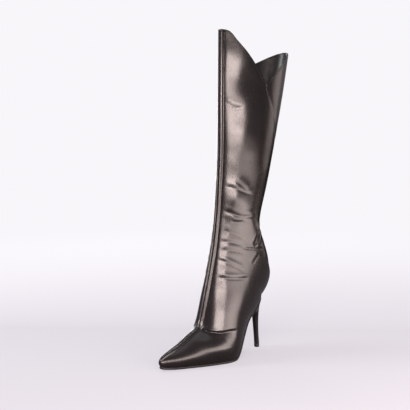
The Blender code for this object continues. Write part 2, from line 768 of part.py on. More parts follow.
def slider_frame():
    """The place on the leather behind the slider's middle, and three ways from it.

    They are along its pin, square to the zip line, then level out of the leather, and up the zip.
    """
    strip = zip_strip(SLIDER_WIDTH / 2, 3, 0.0, NOTCH_TO_SLIDER)
    point = Vector(strip[-1, 1])
    along = Vector(strip[-1, 1] - strip[-2, 1]).normalized()
    across = Vector(strip[-1, 2] - strip[-1, 0])
    across = (across - along * across.dot(along)).normalized()
    up = Vector((0.0, 0.0, 1.0))
    up = (up - across * up.dot(across)).normalized()
    out = across.cross(up)
    if out.x > 0:
        out.negate()
    return point, across, out, up


def make_slider_and_pull():
    """The zip's slider below the notch, with its core in the slit and its pin, and the pull that hangs on it."""
    point, across, out, up = slider_frame()

    def lying(a, b, along):
        return tuple(point + across * a + out * b + up * along)

    def standing(a, b, along):
        return tuple(point + up * a + out * b + across * along)

    half, plate_top = SLIDER_WIDTH / 2, PLATE_CLEAR + SLIDER_PLATE
    pin = plate_top + KNUCKLE_RADIUS + GAP
    core = ZIP_TEETH / 2
    cross_section = [
        (-half, PLATE_CLEAR),
        (-core, PLATE_CLEAR),
        (-core, -WALL),
        (core, -WALL),
        (core, PLATE_CLEAR),
        (half, PLATE_CLEAR),
        (half, plate_top),
        (-half, plate_top),
    ]
    pieces = [prism("zip_slider", cross_section, -SLIDER_LENGTH / 2, SLIDER_LENGTH / 2, lying)]
    ear_radius = PIN_RADIUS + EAR
    arch = [(a, b) for a, b in circle(ear_radius, 0.0, pin) if b >= pin - 1e-9]
    ear_profile = [(-ear_radius, plate_top - EAR / 2), (ear_radius, plate_top - EAR / 2), *arch]
    inside = KNUCKLE_WIDTH / 2 + GAP
    for low, high in ((inside, inside + EAR), (-inside - EAR, -inside)):
        pieces.append(prism("ear", ear_profile, low, high, standing))
    reach = inside + EAR / 2
    pieces.append(prism("pin", circle(PIN_RADIUS, 0.0, pin), -reach, reach, standing))
    finish(joined("zip_slider", pieces), ZIP_METAL)

    eye = circle(PIN_RADIUS + GAP, 0.0, pin)
    rim = circle(KNUCKLE_RADIUS, 0.0, pin)
    knuckle = tube("zip_pull", eye, rim, KNUCKLE_WIDTH, standing)
    neck, tab, corner = NECK_WIDTH / 2, PULL_WIDTH / 2, PULL_WIDTH / 4
    shoulder = -KNUCKLE_RADIUS - NECK_LENGTH
    right = [
        (tab - corner, -PULL_LENGTH),
        (tab, -PULL_LENGTH + corner),
        (tab, shoulder - corner),
        (neck, shoulder),
        (neck, -(PIN_RADIUS + GAP + KNUCKLE_RADIUS) / 2),
    ]
    hanging = right + [(-a, b) for a, b in reversed(right)]

    def facing(a, b, along):
        return tuple(point + across * a + up * b + out * along)

    blade = prism("blade", hanging, pin - PULL_THICK / 2, pin + PULL_THICK / 2, facing)
    thing = finish(joined("zip_pull", [knuckle, blade]), ZIP_METAL)
    hinge = Matrix.Translation(point + out * pin)
    thing.data.transform(hinge.inverted())
    thing.matrix_world = hinge


def tube(name, eye, rim, width, place):
    """A ring of a width along its axis, open through the eye."""
    count = len(eye)
    loops = [(rim, -width / 2), (rim, width / 2), (eye, width / 2), (eye, -width / 2)]
    points = [place(a, b, along) for profile, along in loops for a, b in profile]
    faces = []
    for k in range(4):
        first, second = k * count, (k + 1) % 4 * count
        for i in range(count):
            j = (i + 1) % count
            faces.append((first + i, first + j, second + j, second + i))
    return solid(name, points, faces)


def build():
    """Build every piece of the boot."""
    clear()
    make_upper()
    make_plate("outsole", -SOLE_MARGIN, 0.0, outsole_thickness, PLATE_EDGE, SOLE)
    make_plate("insole", INSOLE_INSET, GAP + INSOLE, lambda y: INSOLE, INSOLE_EDGE, LINING)
    make_heel()
    make_tip()
    tape_face = WALL + TAPE_CLEAR
    tape_back = tape_face + ZIP_TAPE
    zip_part("zip_tape", ZIP_TAPE_WIDTH / 2, 5, 0.0, TAPE_FALL, tape_face, tape_back, TAPE_CLOTH)
    teeth_top = NOTCH_TO_SLIDER + SLIDER_LENGTH / 2 + GAP
    zip_part("zip_teeth", ZIP_TEETH / 2, 3, GAP, teeth_top, TEETH_DEPTH, WALL, ZIP_METAL)
    make_slider_and_pull()


build()
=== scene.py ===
"""Dresses the knee-high boot: leather upper with its folds, soles, heel, zip, studio and camera.

Metres, +Z up. The toe points along -Y, the outer side is +X and the origin lies under the heel tip.
"""

import logging
from dataclasses import dataclass, field
from enum import Enum
from math import cos, pi, radians, sin
from typing import Any, NamedTuple, Sequence

import bmesh
import bpy
import numpy as np
from bpy.types import ID, Material, Mesh, NodeSocket, NodeTree, Object
from mathutils import Matrix, Quaternion, Vector, noise


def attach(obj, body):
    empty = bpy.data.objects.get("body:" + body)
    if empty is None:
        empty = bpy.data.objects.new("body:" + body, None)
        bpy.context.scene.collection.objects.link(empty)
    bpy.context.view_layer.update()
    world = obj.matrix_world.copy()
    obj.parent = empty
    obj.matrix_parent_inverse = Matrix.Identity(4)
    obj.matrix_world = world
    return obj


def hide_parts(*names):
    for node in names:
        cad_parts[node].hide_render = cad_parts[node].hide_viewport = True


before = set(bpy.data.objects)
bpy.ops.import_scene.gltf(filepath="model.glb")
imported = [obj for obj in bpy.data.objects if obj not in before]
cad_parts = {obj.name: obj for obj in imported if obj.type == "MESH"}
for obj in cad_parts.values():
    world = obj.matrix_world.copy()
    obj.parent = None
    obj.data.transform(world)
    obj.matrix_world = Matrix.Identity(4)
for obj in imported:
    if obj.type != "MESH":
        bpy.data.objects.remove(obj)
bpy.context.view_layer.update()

Array = np.ndarray
Triple = tuple[float, float, float]

MM = 0.001
BODY = "boot"
PULL_BODY = "pull"
log = logging.getLogger("boot")


class Side(Enum):
    """The two sides of the boot, with the sign of x on each."""

    INNER = -1
    OUTER = 1


# ---- Shader expressions


class Wire:
    """A shader socket that takes part in Python expressions on values."""

    def __init__(self, tree: NodeTree, socket: NodeSocket) -> None:
        """Hold a socket of a tree.

        Args:
            tree: the node tree that the socket belongs to.
            socket: the output socket that carries the value.
        """
        self.tree = tree
        self.socket = socket

    def _math(self, operation: str, *operands: "Wire | float", clamp: bool = False) -> "Wire":
        """Add a Math node.

        Args:
            operation: the node's operation.
            operands: its inputs in order, wires or numbers.
            clamp: whether the result is kept from 0 to 1.

        Returns:
            The node's result.
        """
        node = self.tree.nodes.new("ShaderNodeMath")
        node.operation = operation
        node.use_clamp = clamp
        for slot, operand in zip(node.inputs, operands):
            connect(self.tree, operand, slot)
        return Wire(self.tree, node.outputs[0])

    def __add__(self, other: "Wire | float") -> "Wire":
        """Sum."""
        return self._math("ADD", self, other)

    __radd__ = __add__

    def __sub__(self, other: "Wire | float") -> "Wire":
        """Difference."""
        return self._math("SUBTRACT", self, other)

    def __rsub__(self, other: "Wire | float") -> "Wire":
        """Difference from a number."""
        return self._math("SUBTRACT", other, self)

    def __mul__(self, other: "Wire | float") -> "Wire":
        """Product."""
        return self._math("MULTIPLY", self, other)

    __rmul__ = __mul__

    def __truediv__(self, other: "Wire | float") -> "Wire":
        """Quotient."""
        return self._math("DIVIDE", self, other)

    def __pow__(self, other: "Wire | float") -> "Wire":
        """Power."""
        return self._math("POWER", self, other)

    def __abs__(self) -> "Wire":
        """Absolute value."""
        return self._math("ABSOLUTE", self)

    def sine(self) -> "Wire":
        """Sine of the value in radians."""
        return self._math("SINE", self)

    def clamped(self) -> "Wire":
        """The value kept from 0 to 1."""
        return self._math("ADD", self, 0.0, clamp=True)

    def ramp(self, low: float, high: float) -> "Wire":
        """A smooth step.

        Args:
            low: the value where the step is 0.
            high: the value where the step is 1, which may lie below low.

        Returns:
            The step, from 0 to 1.
        """
        share = ((self - low) / (high - low)).clamped()
        return share * share * (3.0 - 2.0 * share)

    def band(self, half_width: float, soft: float) -> "Wire":
        """1 where the value lies within half_width of 0, fading over soft.

        Args:
            half_width: the band's half width.
            soft: the width of its fade.

        Returns:
            The band's mask.
        """
        return abs(self).ramp(half_width + soft, half_width)


def connect(tree: NodeTree, value: Any, slot: NodeSocket) -> None:
    """Link a wire to a socket, or set the socket's value.

    Args:
        tree: the socket's tree.
        value: the wire or the value.
        slot: the input socket.
    """
    if isinstance(value, Wire):
        tree.links.new(value.socket, slot)
    else:
        slot.default_value = value


class Nodes:
    """A node tree, written through a few short calls."""

    def __init__(self, tree: NodeTree) -> None:
        """Hold the tree."""
        self.tree = tree

    def node(
        self,
        kind: str,
        settings: dict[str, Any] | None = None,
        output: int | str = 0,
        numbered: dict[int, Any] | None = None,
        **named: Any,
    ) -> Wire:
        """Add a node.

        Args:
            kind: the node's type.
            settings: attributes of the node, set first.
            output: the output to hand back.
            numbered: values or wires by socket number, for sockets that share a name.
            named: values or wires by socket name, with _ for a space.

        Returns:
            The chosen output.
        """
        made = self.tree.nodes.new(kind)
        for key, value in (settings or {}).items():
            setattr(made, key, value)
        for number, value in (numbered or {}).items():
            connect(self.tree, value, made.inputs[number])
        for key, value in named.items():
            connect(self.tree, value, made.inputs[key.replace("_", " ")])
        return Wire(self.tree, made.outputs[output])

    def by_ray(self, others: Wire, seen: Wire) -> None:
        """Send one shader to the output for camera rays and another for all other rays.

        Args:
            others: the shader of all other rays.
            seen: the shader of camera rays.
        """
        ray = self.node("ShaderNodeLightPath", output="Is Camera Ray")
        mixed = self.node("ShaderNodeMixShader", numbered={0: ray, 1: others, 2: seen})
        end = next(node for node in self.tree.nodes if node.bl_idname.startswith("ShaderNodeOutput"))
        connect(self.tree, mixed, end.inputs["Surface"])


class Shader(Nodes):
    """A material's nodes round its Principled shader."""

    def __init__(self, name: str) -> None:
        """Start a material.

        Args:
            name: the material's name.
        """
        self.material = bpy.data.materials.new(name)
        self.material.use_nodes = True
        super().__init__(self.material.node_tree)
        self.principled = self.tree.nodes["Principled BSDF"]

    def place(self) -> Wire:
        """The point on the surface, in metres of the boot's own frame."""
        return self.node("ShaderNodeTexCoord", output="Object")

    def axis(self, name: str) -> Wire:
        """X, Y or Z of the point on the surface, by the axis's name."""
        return self.node("ShaderNodeSeparateXYZ", output=name, Vector=self.place())

    def stretched(self, x: float, y: float, z: float) -> Wire:
        """The point on the surface with each axis scaled.

        Args:
            x: scale along x.
            y: scale along y.
            z: scale along z.

        Returns:
            The scaled point.
        """
        return self.node("ShaderNodeMapping", Vector=self.place(), Scale=(x, y, z))

    def noise(self, scale: float, detail: float = 3.0, at: Wire | None = None) -> Wire:
        """Cloudy noise from 0 to 1.

        Args:
            scale: clouds per metre.
            detail: octaves.
            at: the point to read it at, the surface's own where None.

        Returns:
            The noise.
        """
        return self.node("ShaderNodeTexNoise", Vector=at or self.place(), Scale=scale, Detail=detail)

    def cells(self, scale: float, feature: str = "F1", at: Wire | None = None) -> Wire:
        """Distance inside a pattern of cells.

        Args:
            scale: cells per metre.
            feature: the Voronoi feature.
            at: the point to read it at.

        Returns:
            The distance.
        """
        return self.node(
            "ShaderNodeTexVoronoi", {"feature": feature}, "Distance", Vector=at or self.place(), Scale=scale
        )

    def attribute(self, name: str) -> Wire:
        """A value stored on the mesh's points."""
        return self.node("ShaderNodeAttribute", {"attribute_name": name}, "Fac")

    def blend(self, share: Wire, first: "Wire | Sequence[float]", second: "Wire | Sequence[float]") -> Wire:
        """Mix two colours.

        Args:
            share: 0 for the first colour and 1 for the second.
            first: red, green and blue, or a wire.
            second: red, green and blue, or a wire.

        Returns:
            The mixed colour.
        """
        ends = [end if isinstance(end, Wire) else (*end, 1.0) for end in (first, second)]
        return self.node("ShaderNodeMix", {"data_type": "RGBA"}, 2, {0: share, 6: ends[0], 7: ends[1]})

    def bump(self, height: Wire, depth: float, strength: float = 1.0, under: Wire | None = None) -> Wire:
        """A bump, on top of another where given.

        Args:
            height: the relief, from 0 to 1.
            depth: its depth in metres.
            strength: how much of it counts.
            under: the normal below it.

        Returns:
            The bent normal.
        """
        inputs: dict[str, Any] = {"Height": height, "Distance": depth, "Strength": strength}
        if under is not None:
            inputs["Normal"] = under
        return self.node("ShaderNodeBump", output="Normal", **inputs)

    def feed(self, **sockets: Any) -> Material:
        """Set or link the Principled shader's sockets.

        Args:
            sockets: values or wires by socket name, with _ for a space.

        Returns:
            The finished material.
        """
        for key, value in sockets.items():
            connect(self.tree, value, self.principled.inputs[key.replace("_", " ")])
        return self.material


# ---- Finishes


@dataclass(frozen=True)
class Leather:
    """Smooth dyed calf, softly glossy, with faint grain and cloudy wear."""

    name: str = "black calf"
    deep: Triple = (0.0030, 0.0022, 0.0024)
    worn: Triple = (0.0120, 0.0080, 0.0072)
    gloss: float = 0.19
    dull: float = 0.33
    grain: float = 0.045 * MM
    seams: bool = True

    def build(self) -> Material:
        """Make the material.

        Returns:
            The material.
        """
        shader = Shader(self.name)
        clouds = shader.noise(38.0, 4.0)
        patches = shader.noise(9.0, 2.0)
        pores = shader.cells(900.0)
        creasing = shader.noise(420.0, 3.0, shader.stretched(1.0, 1.0, 0.45))
        wear = (0.6 * clouds + 0.5 * patches - 0.25).clamped()
        colour = shader.blend(wear, self.deep, self.worn)
        roughness = self.gloss + (self.dull - self.gloss) * (0.55 * clouds + 0.45 * creasing)
        normal = shader.bump(pores, self.grain, 0.22)
        normal = shader.bump(creasing, 2.0 * self.grain, 0.35, normal)
        if self.seams:
            panel = 1.0 - shader.attribute("panel").band(0.25, 0.35)
            back = 1.0 - shader.attribute("back").band(0.25, 0.35)
            rim = 1.0 - 0.6 * (shader.attribute("rim") - 2.6).band(0.25, 0.4)
            normal = shader.bump(panel * back * rim, 0.5 * MM, 1.0, normal)
            roughness = roughness + 0.2 * (1.0 - panel) - 0.07 * shader.attribute("shut")
        return shader.feed(Base_Color=colour, Roughness=roughness, Normal=normal, Specular_IOR_Level=0.5)


@dataclass(frozen=True)
class Lining:
    """Dark lining leather, matt, with a fine grain."""

    name: str = "dark lining"
    tint: Triple = (0.0028, 0.0022, 0.0026)
    pale: Triple = (0.0080, 0.0062, 0.0068)

    def build(self) -> Material:
        """Make the material.

        Returns:
            The material.
        """
        shader = Shader(self.name)
        clouds = shader.noise(60.0, 3.0)
        grain = shader.cells(1300.0)
        return shader.feed(
            Base_Color=shader.blend(clouds, self.tint, self.pale),
            Roughness=0.30 + 0.16 * clouds,
            Normal=shader.bump(grain, 0.05 * MM, 0.4),
            Specular_IOR_Level=0.4,
        )


@dataclass(frozen=True)
class SoleFinish:
    """Black sole with an inked, rubbed edge and a fine pebbled tread."""

    name: str = "black sole"
    tint: Triple = (0.005, 0.0045, 0.005)
    rubbed: Triple = (0.018, 0.016, 0.017)

    def build(self) -> Material:
        """Make the material.

        Returns:
            The material.
        """
        shader = Shader(self.name)
        clouds = shader.noise(90.0, 4.0)
        pebbles = shader.cells(700.0)
        streaks = shader.noise(150.0, 2.0, shader.stretched(1.0, 1.0, 8.0))
        rubbing = (1.6 * clouds - 0.55).clamped()
        normal = shader.bump(pebbles, 0.08 * MM, 0.5)
        normal = shader.bump(streaks, 0.10 * MM, 0.5, normal)
        return shader.feed(
            Base_Color=shader.blend(rubbing, self.tint, self.rubbed),
            Roughness=0.34 + 0.2 * clouds,
            Normal=normal,
        )


@dataclass(frozen=True)
class Tape:
    """Woven zip tape."""

    name: str = "zip tape"
    tint: Triple = (0.008, 0.008, 0.009)
    thread: Triple = (0.028, 0.028, 0.031)
    pitch: float = 0.55 * MM

    def build(self) -> Material:
        """Make the material.

        Returns:
            The material.
        """
        shader = Shader(self.name)
        turns = 2.0 * pi / self.pitch
        rib, cross = ((turns * shader.axis(name)).sine() * 0.5 + 0.5 for name in "ZY")
        weave = rib * cross
        return shader.feed(
            Base_Color=shader.blend(weave, self.tint, self.thread),
            Roughness=0.75 + 0.15 * weave,
            Normal=shader.bump(weave, 0.12 * MM),
        )


@dataclass(frozen=True)
class Enamel:
    """Black enamelled metal, worn to grey here and there."""

    name: str = "black enamel"
    tint: Triple = (0.018, 0.018, 0.020)
    worn: Triple = (0.16, 0.155, 0.15)

    def build(self) -> Material:
        """Make the material.

        Returns:
            The material.
        """
        shader = Shader(self.name)
        chips = shader.noise(900.0, 4.0).ramp(0.66, 0.74)
        return shader.feed(
            Base_Color=shader.blend(chips, self.tint, self.worn),
            Roughness=0.24 + 0.2 * shader.noise(300.0),
            Metallic=0.6 + 0.4 * chips,
        )


@dataclass(frozen=True)
class Thread:
    """Waxed sewing thread, twisted."""

    name: str = "waxed thread"
    tint: Triple = (0.012, 0.011, 0.012)

    def build(self) -> Material:
        """Make the material.

        Returns:
            The material.
        """
        shader = Shader(self.name)
        twist = shader.noise(2600.0, 2.0, shader.stretched(1.0, 1.0, 0.4))
        return shader.feed(
            Base_Color=shader.blend(twist, self.tint, (0.030, 0.027, 0.028)),
            Roughness=0.45 + 0.2 * twist,
            Normal=shader.bump(twist, 0.08 * MM, 0.8),
        )


# ---- The last: sections of the boot


class Profile(NamedTuple):
    """A point of the seat line: y and z as shares, and its slope."""

    y: float
    z: float
    slope: float


class Outline(NamedTuple):
    """Half widths of the seat line at y, as shares of the ball's half width."""

    y: float
    outer: float
    inner: float


class Section(NamedTuple):
    """One section of the fan in metres, with its shape."""

    front_y: float
    front_z: float
    back_y: float
    back_z: float
    outer: float
    inner: float
    widest: float
    ridge: float
    heel: float


def spline(knots: Array, values: Array, at: Array | float) -> Array:
    """Natural cubic spline.

    Args:
        knots: places of the knots.
        values: their values, with further columns where there are several.
        at: the places to read.

    Returns:
        The values at those places.
    """
    knots = np.asarray(knots, float)
    values = np.asarray(values, float)
    step = np.diff(knots).reshape(-1, *([1] * (values.ndim - 1)))
    rise = np.diff(values, axis=0) / step
    count = len(knots)
    system = np.eye(count)
    bend = np.zeros_like(values)
    flat = step.reshape(-1)
    for i in range(1, count - 1):
        system[i, i - 1 : i + 2] = flat[i - 1], 2 * (flat[i - 1] + flat[i]), flat[i]
        bend[i] = 6 * (rise[i] - rise[i - 1])
    bend = np.linalg.solve(system, bend.reshape(count, -1)).reshape(values.shape)
    at = np.asarray(at, float)
    i = np.clip(np.searchsorted(knots, at) - 1, 0, count - 2)
    shape = at.shape + (1,) * (values.ndim - 1)
    a = ((knots[i + 1] - at) / flat[i]).reshape(shape)
    b = 1 - a
    square = (flat[i] ** 2).reshape(shape)
    curve = ((a**3 - a) * bend[i] + (b**3 - b) * bend[i + 1]) * square / 6
    return a * values[i] + b * values[i + 1] + curve


def lookup(at: Array | float, places: Array, values: Array) -> Array:
    """Read each column of values between its rows.

    Args:
        at: where to read.
        places: where the rows stand, rising.
        values: rows by columns.

    Returns:
        The values there.
    """
    return np.stack([np.interp(at, places, column) for column in values.T], axis=-1)


def along(points: Array, places: Array) -> Array:
    """Read a polyline at arc lengths.

    Args:
        points: the polyline's points.
        places: arc lengths from its start.

    Returns:
        Points at those lengths.
    """
    return lookup(places, lengths(points), points)


def lengths(points: Array) -> Array:
    """Arc length of each point of a polyline from its start."""
    steps = np.linalg.norm(np.diff(points, axis=0), axis=1)
    return np.concatenate([[0.0], np.cumsum(steps)])


def unit(vectors: Array) -> Array:
    """Vectors of length 1 along the last axis."""
    return vectors / np.maximum(np.linalg.norm(vectors, axis=-1, keepdims=True), 1e-12)


def smooth(share: Array) -> Array:
    """Smooth step of a share from 0 to 1."""
    share = np.clip(share, 0.0, 1.0)
    return share * share * (3.0 - 2.0 * share)


@dataclass(frozen=True)
class Last:
    """The boot's driving sizes, and the fan of sections that its upper follows."""

    toe_reach: float = 205.0 * MM
    seat_reach: float = 4.8 * MM
    ball: float = 37.0 * MM
    seat_height: float = 87.0 * MM
    vamp: float = 48.0 * MM
    ankle: float = 180.0 * MM
    front_peak: float = 523.0 * MM
    back_peak: float = 500.0 * MM
    outer_notch: float = 436.5 * MM
    inner_notch: float = 452.0 * MM
    calf_depth: float = 130.0 * MM
    calf: float = 43.0 * MM
    ankle_half: float = 33.0 * MM
    wall: float = 1.6 * MM
    outsole: float = 3.4 * MM
    seat_outsole: float = 1.5 * MM
    gap: float = 0.3 * MM
    notch_place: float = 0.49
    samples: int = 120

    SEAT = (
        Profile(-1.000, 0.038, -0.22),
        Profile(-0.835, 0.000, 0.00),
        Profile(-0.430, 0.000, 0.00),
        Profile(-0.291, 0.300, 1.30),
        Profile(-0.160, 0.700, 0.75),
        Profile(1.000, 1.000, 0.42),
    )
    OUTLINE = (
        Outline(-1.000, 0.000, 0.000),
        Outline(-0.990, 0.120, 0.120),
        Outline(-0.960, 0.185, 0.185),
        Outline(-0.920, 0.275, 0.270),
        Outline(-0.850, 0.430, 0.415),
        Outline(-0.750, 0.665, 0.630),
        Outline(-0.655, 0.870, 0.815),
        Outline(-0.570, 1.020, 0.905),
        Outline(-0.485, 1.120, 0.905),
        Outline(-0.400, 1.055, 0.800),
        Outline(-0.300, 0.820, 0.640),
        Outline(-0.200, 0.620, 0.560),
        Outline(-0.110, 0.560, 0.545),
        Outline(-0.050, 0.455, 0.445),
        Outline(0.000, 0.275, 0.270),
        Outline(0.600, 0.175, 0.175),
        Outline(1.000, 0.000, 0.000),
    )
    FRONT_TOPLINE = (
        (0.00, 1.00),
        (0.055, 0.99),
        (0.09, 0.96),
        (0.12, 0.90),
        (0.155, 0.80),
        (0.245, 0.595),
        (0.35, 0.32),
        (0.42, 0.135),
        (0.49, 0.00),
    )
    BACK_TOPLINE = (
        (0.49, 0.00),
        (0.57, 0.27),
        (0.64, 0.46),
        (0.75, 0.68),
        (0.85, 0.86),
        (0.93, 0.97),
        (1.00, 1.00),
    )
    FOOT_COUNT = 12
    COLLAR_SECTION = 17

    def sections(self) -> list[Section]:
        """The fan's sections from the toe to the collar.

        Returns:
            The sections.
        """
        toe, vamp, ankle, ball, seat = self.toe_reach, self.vamp, self.ankle, self.ball, self.seat_reach
        foot = (
            (-1.000, 0.170, vamp, -1.000, 0.000, 0.000, 0.85, 2.00, 2.0),
            (-1.011, 0.240, vamp, -0.988, 0.115, 0.115, 0.85, 2.00, 2.0),
            (-1.009, 0.320, vamp, -0.966, 0.185, 0.185, 0.85, 1.90, 2.0),
            (-0.983, 0.420, vamp, -0.927, 0.285, 0.280, 0.80, 1.70, 2.0),
            (-0.914, 0.545, vamp, -0.840, 0.490, 0.480, 0.76, 1.55, 2.0),
            (-0.797, 0.755, vamp, -0.718, 0.775, 0.750, 0.73, 1.55, 2.0),
            (-0.709, 0.965, vamp, -0.602, 1.035, 0.940, 0.71, 1.60, 2.0),
            (-0.646, 1.110, vamp, -0.505, 1.200, 1.020, 0.69, 1.65, 2.0),
            (-0.606, 0.386, ankle, -0.379, 1.210, 0.970, 0.64, 1.75, 2.0),
            (-0.569, 0.550, ankle, -0.243, 1.060, 0.900, 0.54, 1.85, 2.0),
            (-0.521, 0.756, ankle, -0.087, 0.945, 0.880, 0.49, 1.90, 1.8),
            (-0.478, 0.967, ankle, 1.000, 0.900, 0.870, 0.48, 1.95, 1.7),
        )
        made = []
        for front_y, front_z, height, sole_y, outer, inner, *shape in foot:
            back = sole_y * (toe if sole_y < 0 else seat)
            back_z = float(self.seat(back)[0])
            made.append(Section(front_y * toe, front_z * height, back, back_z, outer * ball, inner * ball, *shape))
        start_y, start_z = self.rim_point(-toe)
        made[0] = made[0]._replace(front_y=start_y, front_z=start_z)
        depth, calf, slim, peak = self.calf_depth, self.calf, self.ankle_half, self.front_peak
        shaft = (
            (-0.708, 1.167, 0.190, 0.650, ankle, slim, 1.00, 0.98, 0.48, 1.90, 1.85),
            (-0.680, 1.328, 0.105, 0.900, ankle, slim, 1.00, 0.96, 0.48, 1.80, 1.8),
            (-0.662, 1.489, -0.028, 1.122, ankle, slim, 1.02, 0.95, 0.48, 1.60, 2.0),
            (-0.644, 0.570, 0.057, 0.482, peak, calf, 0.81, 0.760, 0.48, 1.45, 2.0),
            (-0.628, 0.646, 0.189, 0.602, peak, calf, 0.91, 0.870, 0.48, 1.40, 2.0),
            (-0.620, 0.740, 0.325, 0.740, peak, calf, 0.98, 0.950, 0.48, 1.35, 2.0),
            (-0.610, 0.853, 0.440, 0.853, peak, calf, 1.00, 0.988, 0.48, 1.35, 2.0),
            (-0.600, 1.002, 0.570, 1.002, peak, calf, 0.98, 0.977, 0.48, 1.35, 2.0),
        )
        for front_y, front_z, back_y, back_z, height, half, outer, inner, *shape in shaft:
            front, back = (front_y * depth, front_z * height), (back_y * depth, back_z * height)
            made.append(Section(*front, *back, outer * half, inner * half, *shape))
        return made

    def seat(self, y: Array | float) -> tuple[Array, Array]:
        """The seat line, the outsole's upper face.

        Args:
            y: places along the foot.

        Returns:
            Its heights and slopes there.
        """
        climb = self.seat_height - self.outsole
        knots = np.array(
            [
                (row.y * (self.toe_reach if row.y < 0 else self.seat_reach), self.outsole + row.z * climb, row.slope)
                for row in self.SEAT
            ]
        )
        y = np.asarray(y, float)
        i = np.clip(np.searchsorted(knots[:, 0], y) - 1, 0, len(knots) - 2)
        start, end = knots[i], knots[i + 1]
        length = end[..., 0] - start[..., 0]
        t = (y - start[..., 0]) / length
        height = (
            (2 * t**3 - 3 * t**2 + 1) * start[..., 1]
            + (t**3 - 2 * t**2 + t) * length * start[..., 2]
            + (3 * t**2 - 2 * t**3) * end[..., 1]
            + (t**3 - t**2) * length * end[..., 2]
        )
        rate = (
            (6 * t**2 - 6 * t) * (start[..., 1] - end[..., 1]) / length
            + (3 * t**2 - 4 * t + 1) * start[..., 2]
            + (3 * t**2 - 2 * t) * end[..., 2]
        )
        return height, rate

    def half_width(self, y: Array | float, side: Side) -> Array:
        """Half width of the seat line.

        Args:
            y: places along the foot.
            side: the side.

        Returns:
            Half widths there.
        """
        knots = [row.y * (self.toe_reach if row.y < 0 else self.seat_reach) for row in self.OUTLINE]
        widths = [(row.outer if side is Side.OUTER else row.inner) * self.ball for row in self.OUTLINE]
        return np.sqrt(np.maximum(spline(np.array(knots), np.array(widths) ** 2, y), 0.0))

    def rim_point(self, y: float) -> tuple[float, float]:
        """Where the upper's lower edge stands over the seat line.

        Args:
            y: a place along the foot.

        Returns:
            Its y and z.
        """
        height, rate = self.seat(y)
        lift = self.gap / float(np.hypot(1.0, rate))
        return y - float(rate) * lift, float(height) + lift

    def half_section(self, values: Section, side: Side, on_sole: bool) -> Array:
        """Points of one half section, from the front ridge to its end.

        Args:
            values: the section.
            side: the side.
            on_sole: whether the section ends on the sole's edge, or meets the other half at the back.

        Returns:
            The points.
        """
        back_y, back_z, end = values.back_y, values.back_z, 0.0
        if on_sole:
            back_y = min(max(back_y, -self.toe_reach), self.seat_reach)
            end = float(self.half_width(back_y, side))
            back_y, back_z = self.rim_point(back_y)
        wide = max(values.outer if side is Side.OUTER else values.inner, end * 1.01, 1e-9)
        turn = np.arccos(min(end / wide, 1.0) ** (values.heel / 2))
        angle = np.linspace(0.0, pi / 2, self.samples)
        fore = values.widest * (1 - np.cos(angle))
        fore_width = wide * np.sin(angle) ** (2 / values.ridge)
        angle = np.linspace(0.0, turn, self.samples)[1:]
        aft = values.widest + (1 - values.widest) * np.sin(angle) / np.sin(turn)
        aft_width = wide * np.cos(angle) ** (2 / values.heel)
        aft_width[-1] = end
        share = np.concatenate([fore, aft])
        width = np.concatenate([fore_width, aft_width])
        return np.stack(
            [
                side.value * width,
                values.front_y + share * (back_y - values.front_y),
                values.front_z + share * (back_z - values.front_z),
            ],
            axis=1,
        )

    def topline(self, place: Array, side: Side) -> Array:
        """Heights of the topline.

        Args:
            place: shares round the half collar from the front seam.
            side: the side.

        Returns:
            The heights.
        """
        notch = self.outer_notch if side is Side.OUTER else self.inner_notch
        front, back = np.array(self.FRONT_TOPLINE), np.array(self.BACK_TOPLINE)
        fore = notch + np.interp(place, front[:, 0], front[:, 1]) * (self.front_peak - notch)
        aft = notch + np.interp(place, back[:, 0], back[:, 1]) * (self.back_peak - notch)
        return np.where(place < self.notch_place, fore, aft)


# ---- Meshes


def into_scene(name: str, data: ID) -> Object:
    """Put a mesh, light or camera into the scene.

    Args:
        name: the object's name.
        data: what it shows.

    Returns:
        The object.
    """
    thing = bpy.data.objects.new(name, data)
    bpy.context.scene.collection.objects.link(thing)
    return thing


def ridge(gap: Array, height: float, place: float, width: float) -> Array:
    """A bell-shaped ridge.

    Args:
        gap: distances from a line.
        height: the ridge's height.
        place: the distance at which it stands.
        width: how far from there it has fallen to 0.37.

    Returns:
        Heights at those distances.
    """
    return height * np.exp(-(((gap - place) / width) ** 2))


def mesh_of(name: str, points: Array, faces: Array | list, weld: float = 1e-6) -> Object:
    """Make an object from points and faces.

    Args:
        name: its name.
        points: its points.
        faces: its faces.
        weld: distance below which points are joined.

    Returns:
        The object, in the scene and smooth.
    """
    mesh = bpy.data.meshes.new(name)
    rows = faces.tolist() if isinstance(faces, Array) else faces
    mesh.from_pydata(np.asarray(points).tolist(), [], rows)
    thing = into_scene(name, mesh)
    if weld:
        weld_points(mesh, weld)
    mesh.shade_smooth()
    return thing


def weld_points(mesh: Mesh, distance: float) -> None:
    """Join doubled points of a mesh and turn its faces one way.

    Args:
        mesh: the mesh.
        distance: below which points are joined.
    """
    work = bmesh.new()
    work.from_mesh(mesh)
    bmesh.ops.remove_doubles(work, verts=work.verts, dist=distance)
    bmesh.ops.recalc_face_normals(work, faces=work.faces)
    work.to_mesh(mesh)
    work.free()


def grid_faces(rows: int, columns: int, keep: Array | None = None) -> Array:
    """Quads of a grid of points.

    Args:
        rows: its rows.
        columns: its columns.
        keep: which cells are kept, all where None.

    Returns:
        The quads' point numbers.
    """
    corner = np.arange((rows - 1) * columns).reshape(rows - 1, columns)[:, :-1]
    quads = np.stack([corner, corner + 1, corner + columns + 1, corner + columns], axis=-1)
    return quads[keep] if keep is not None else quads.reshape(-1, 4)


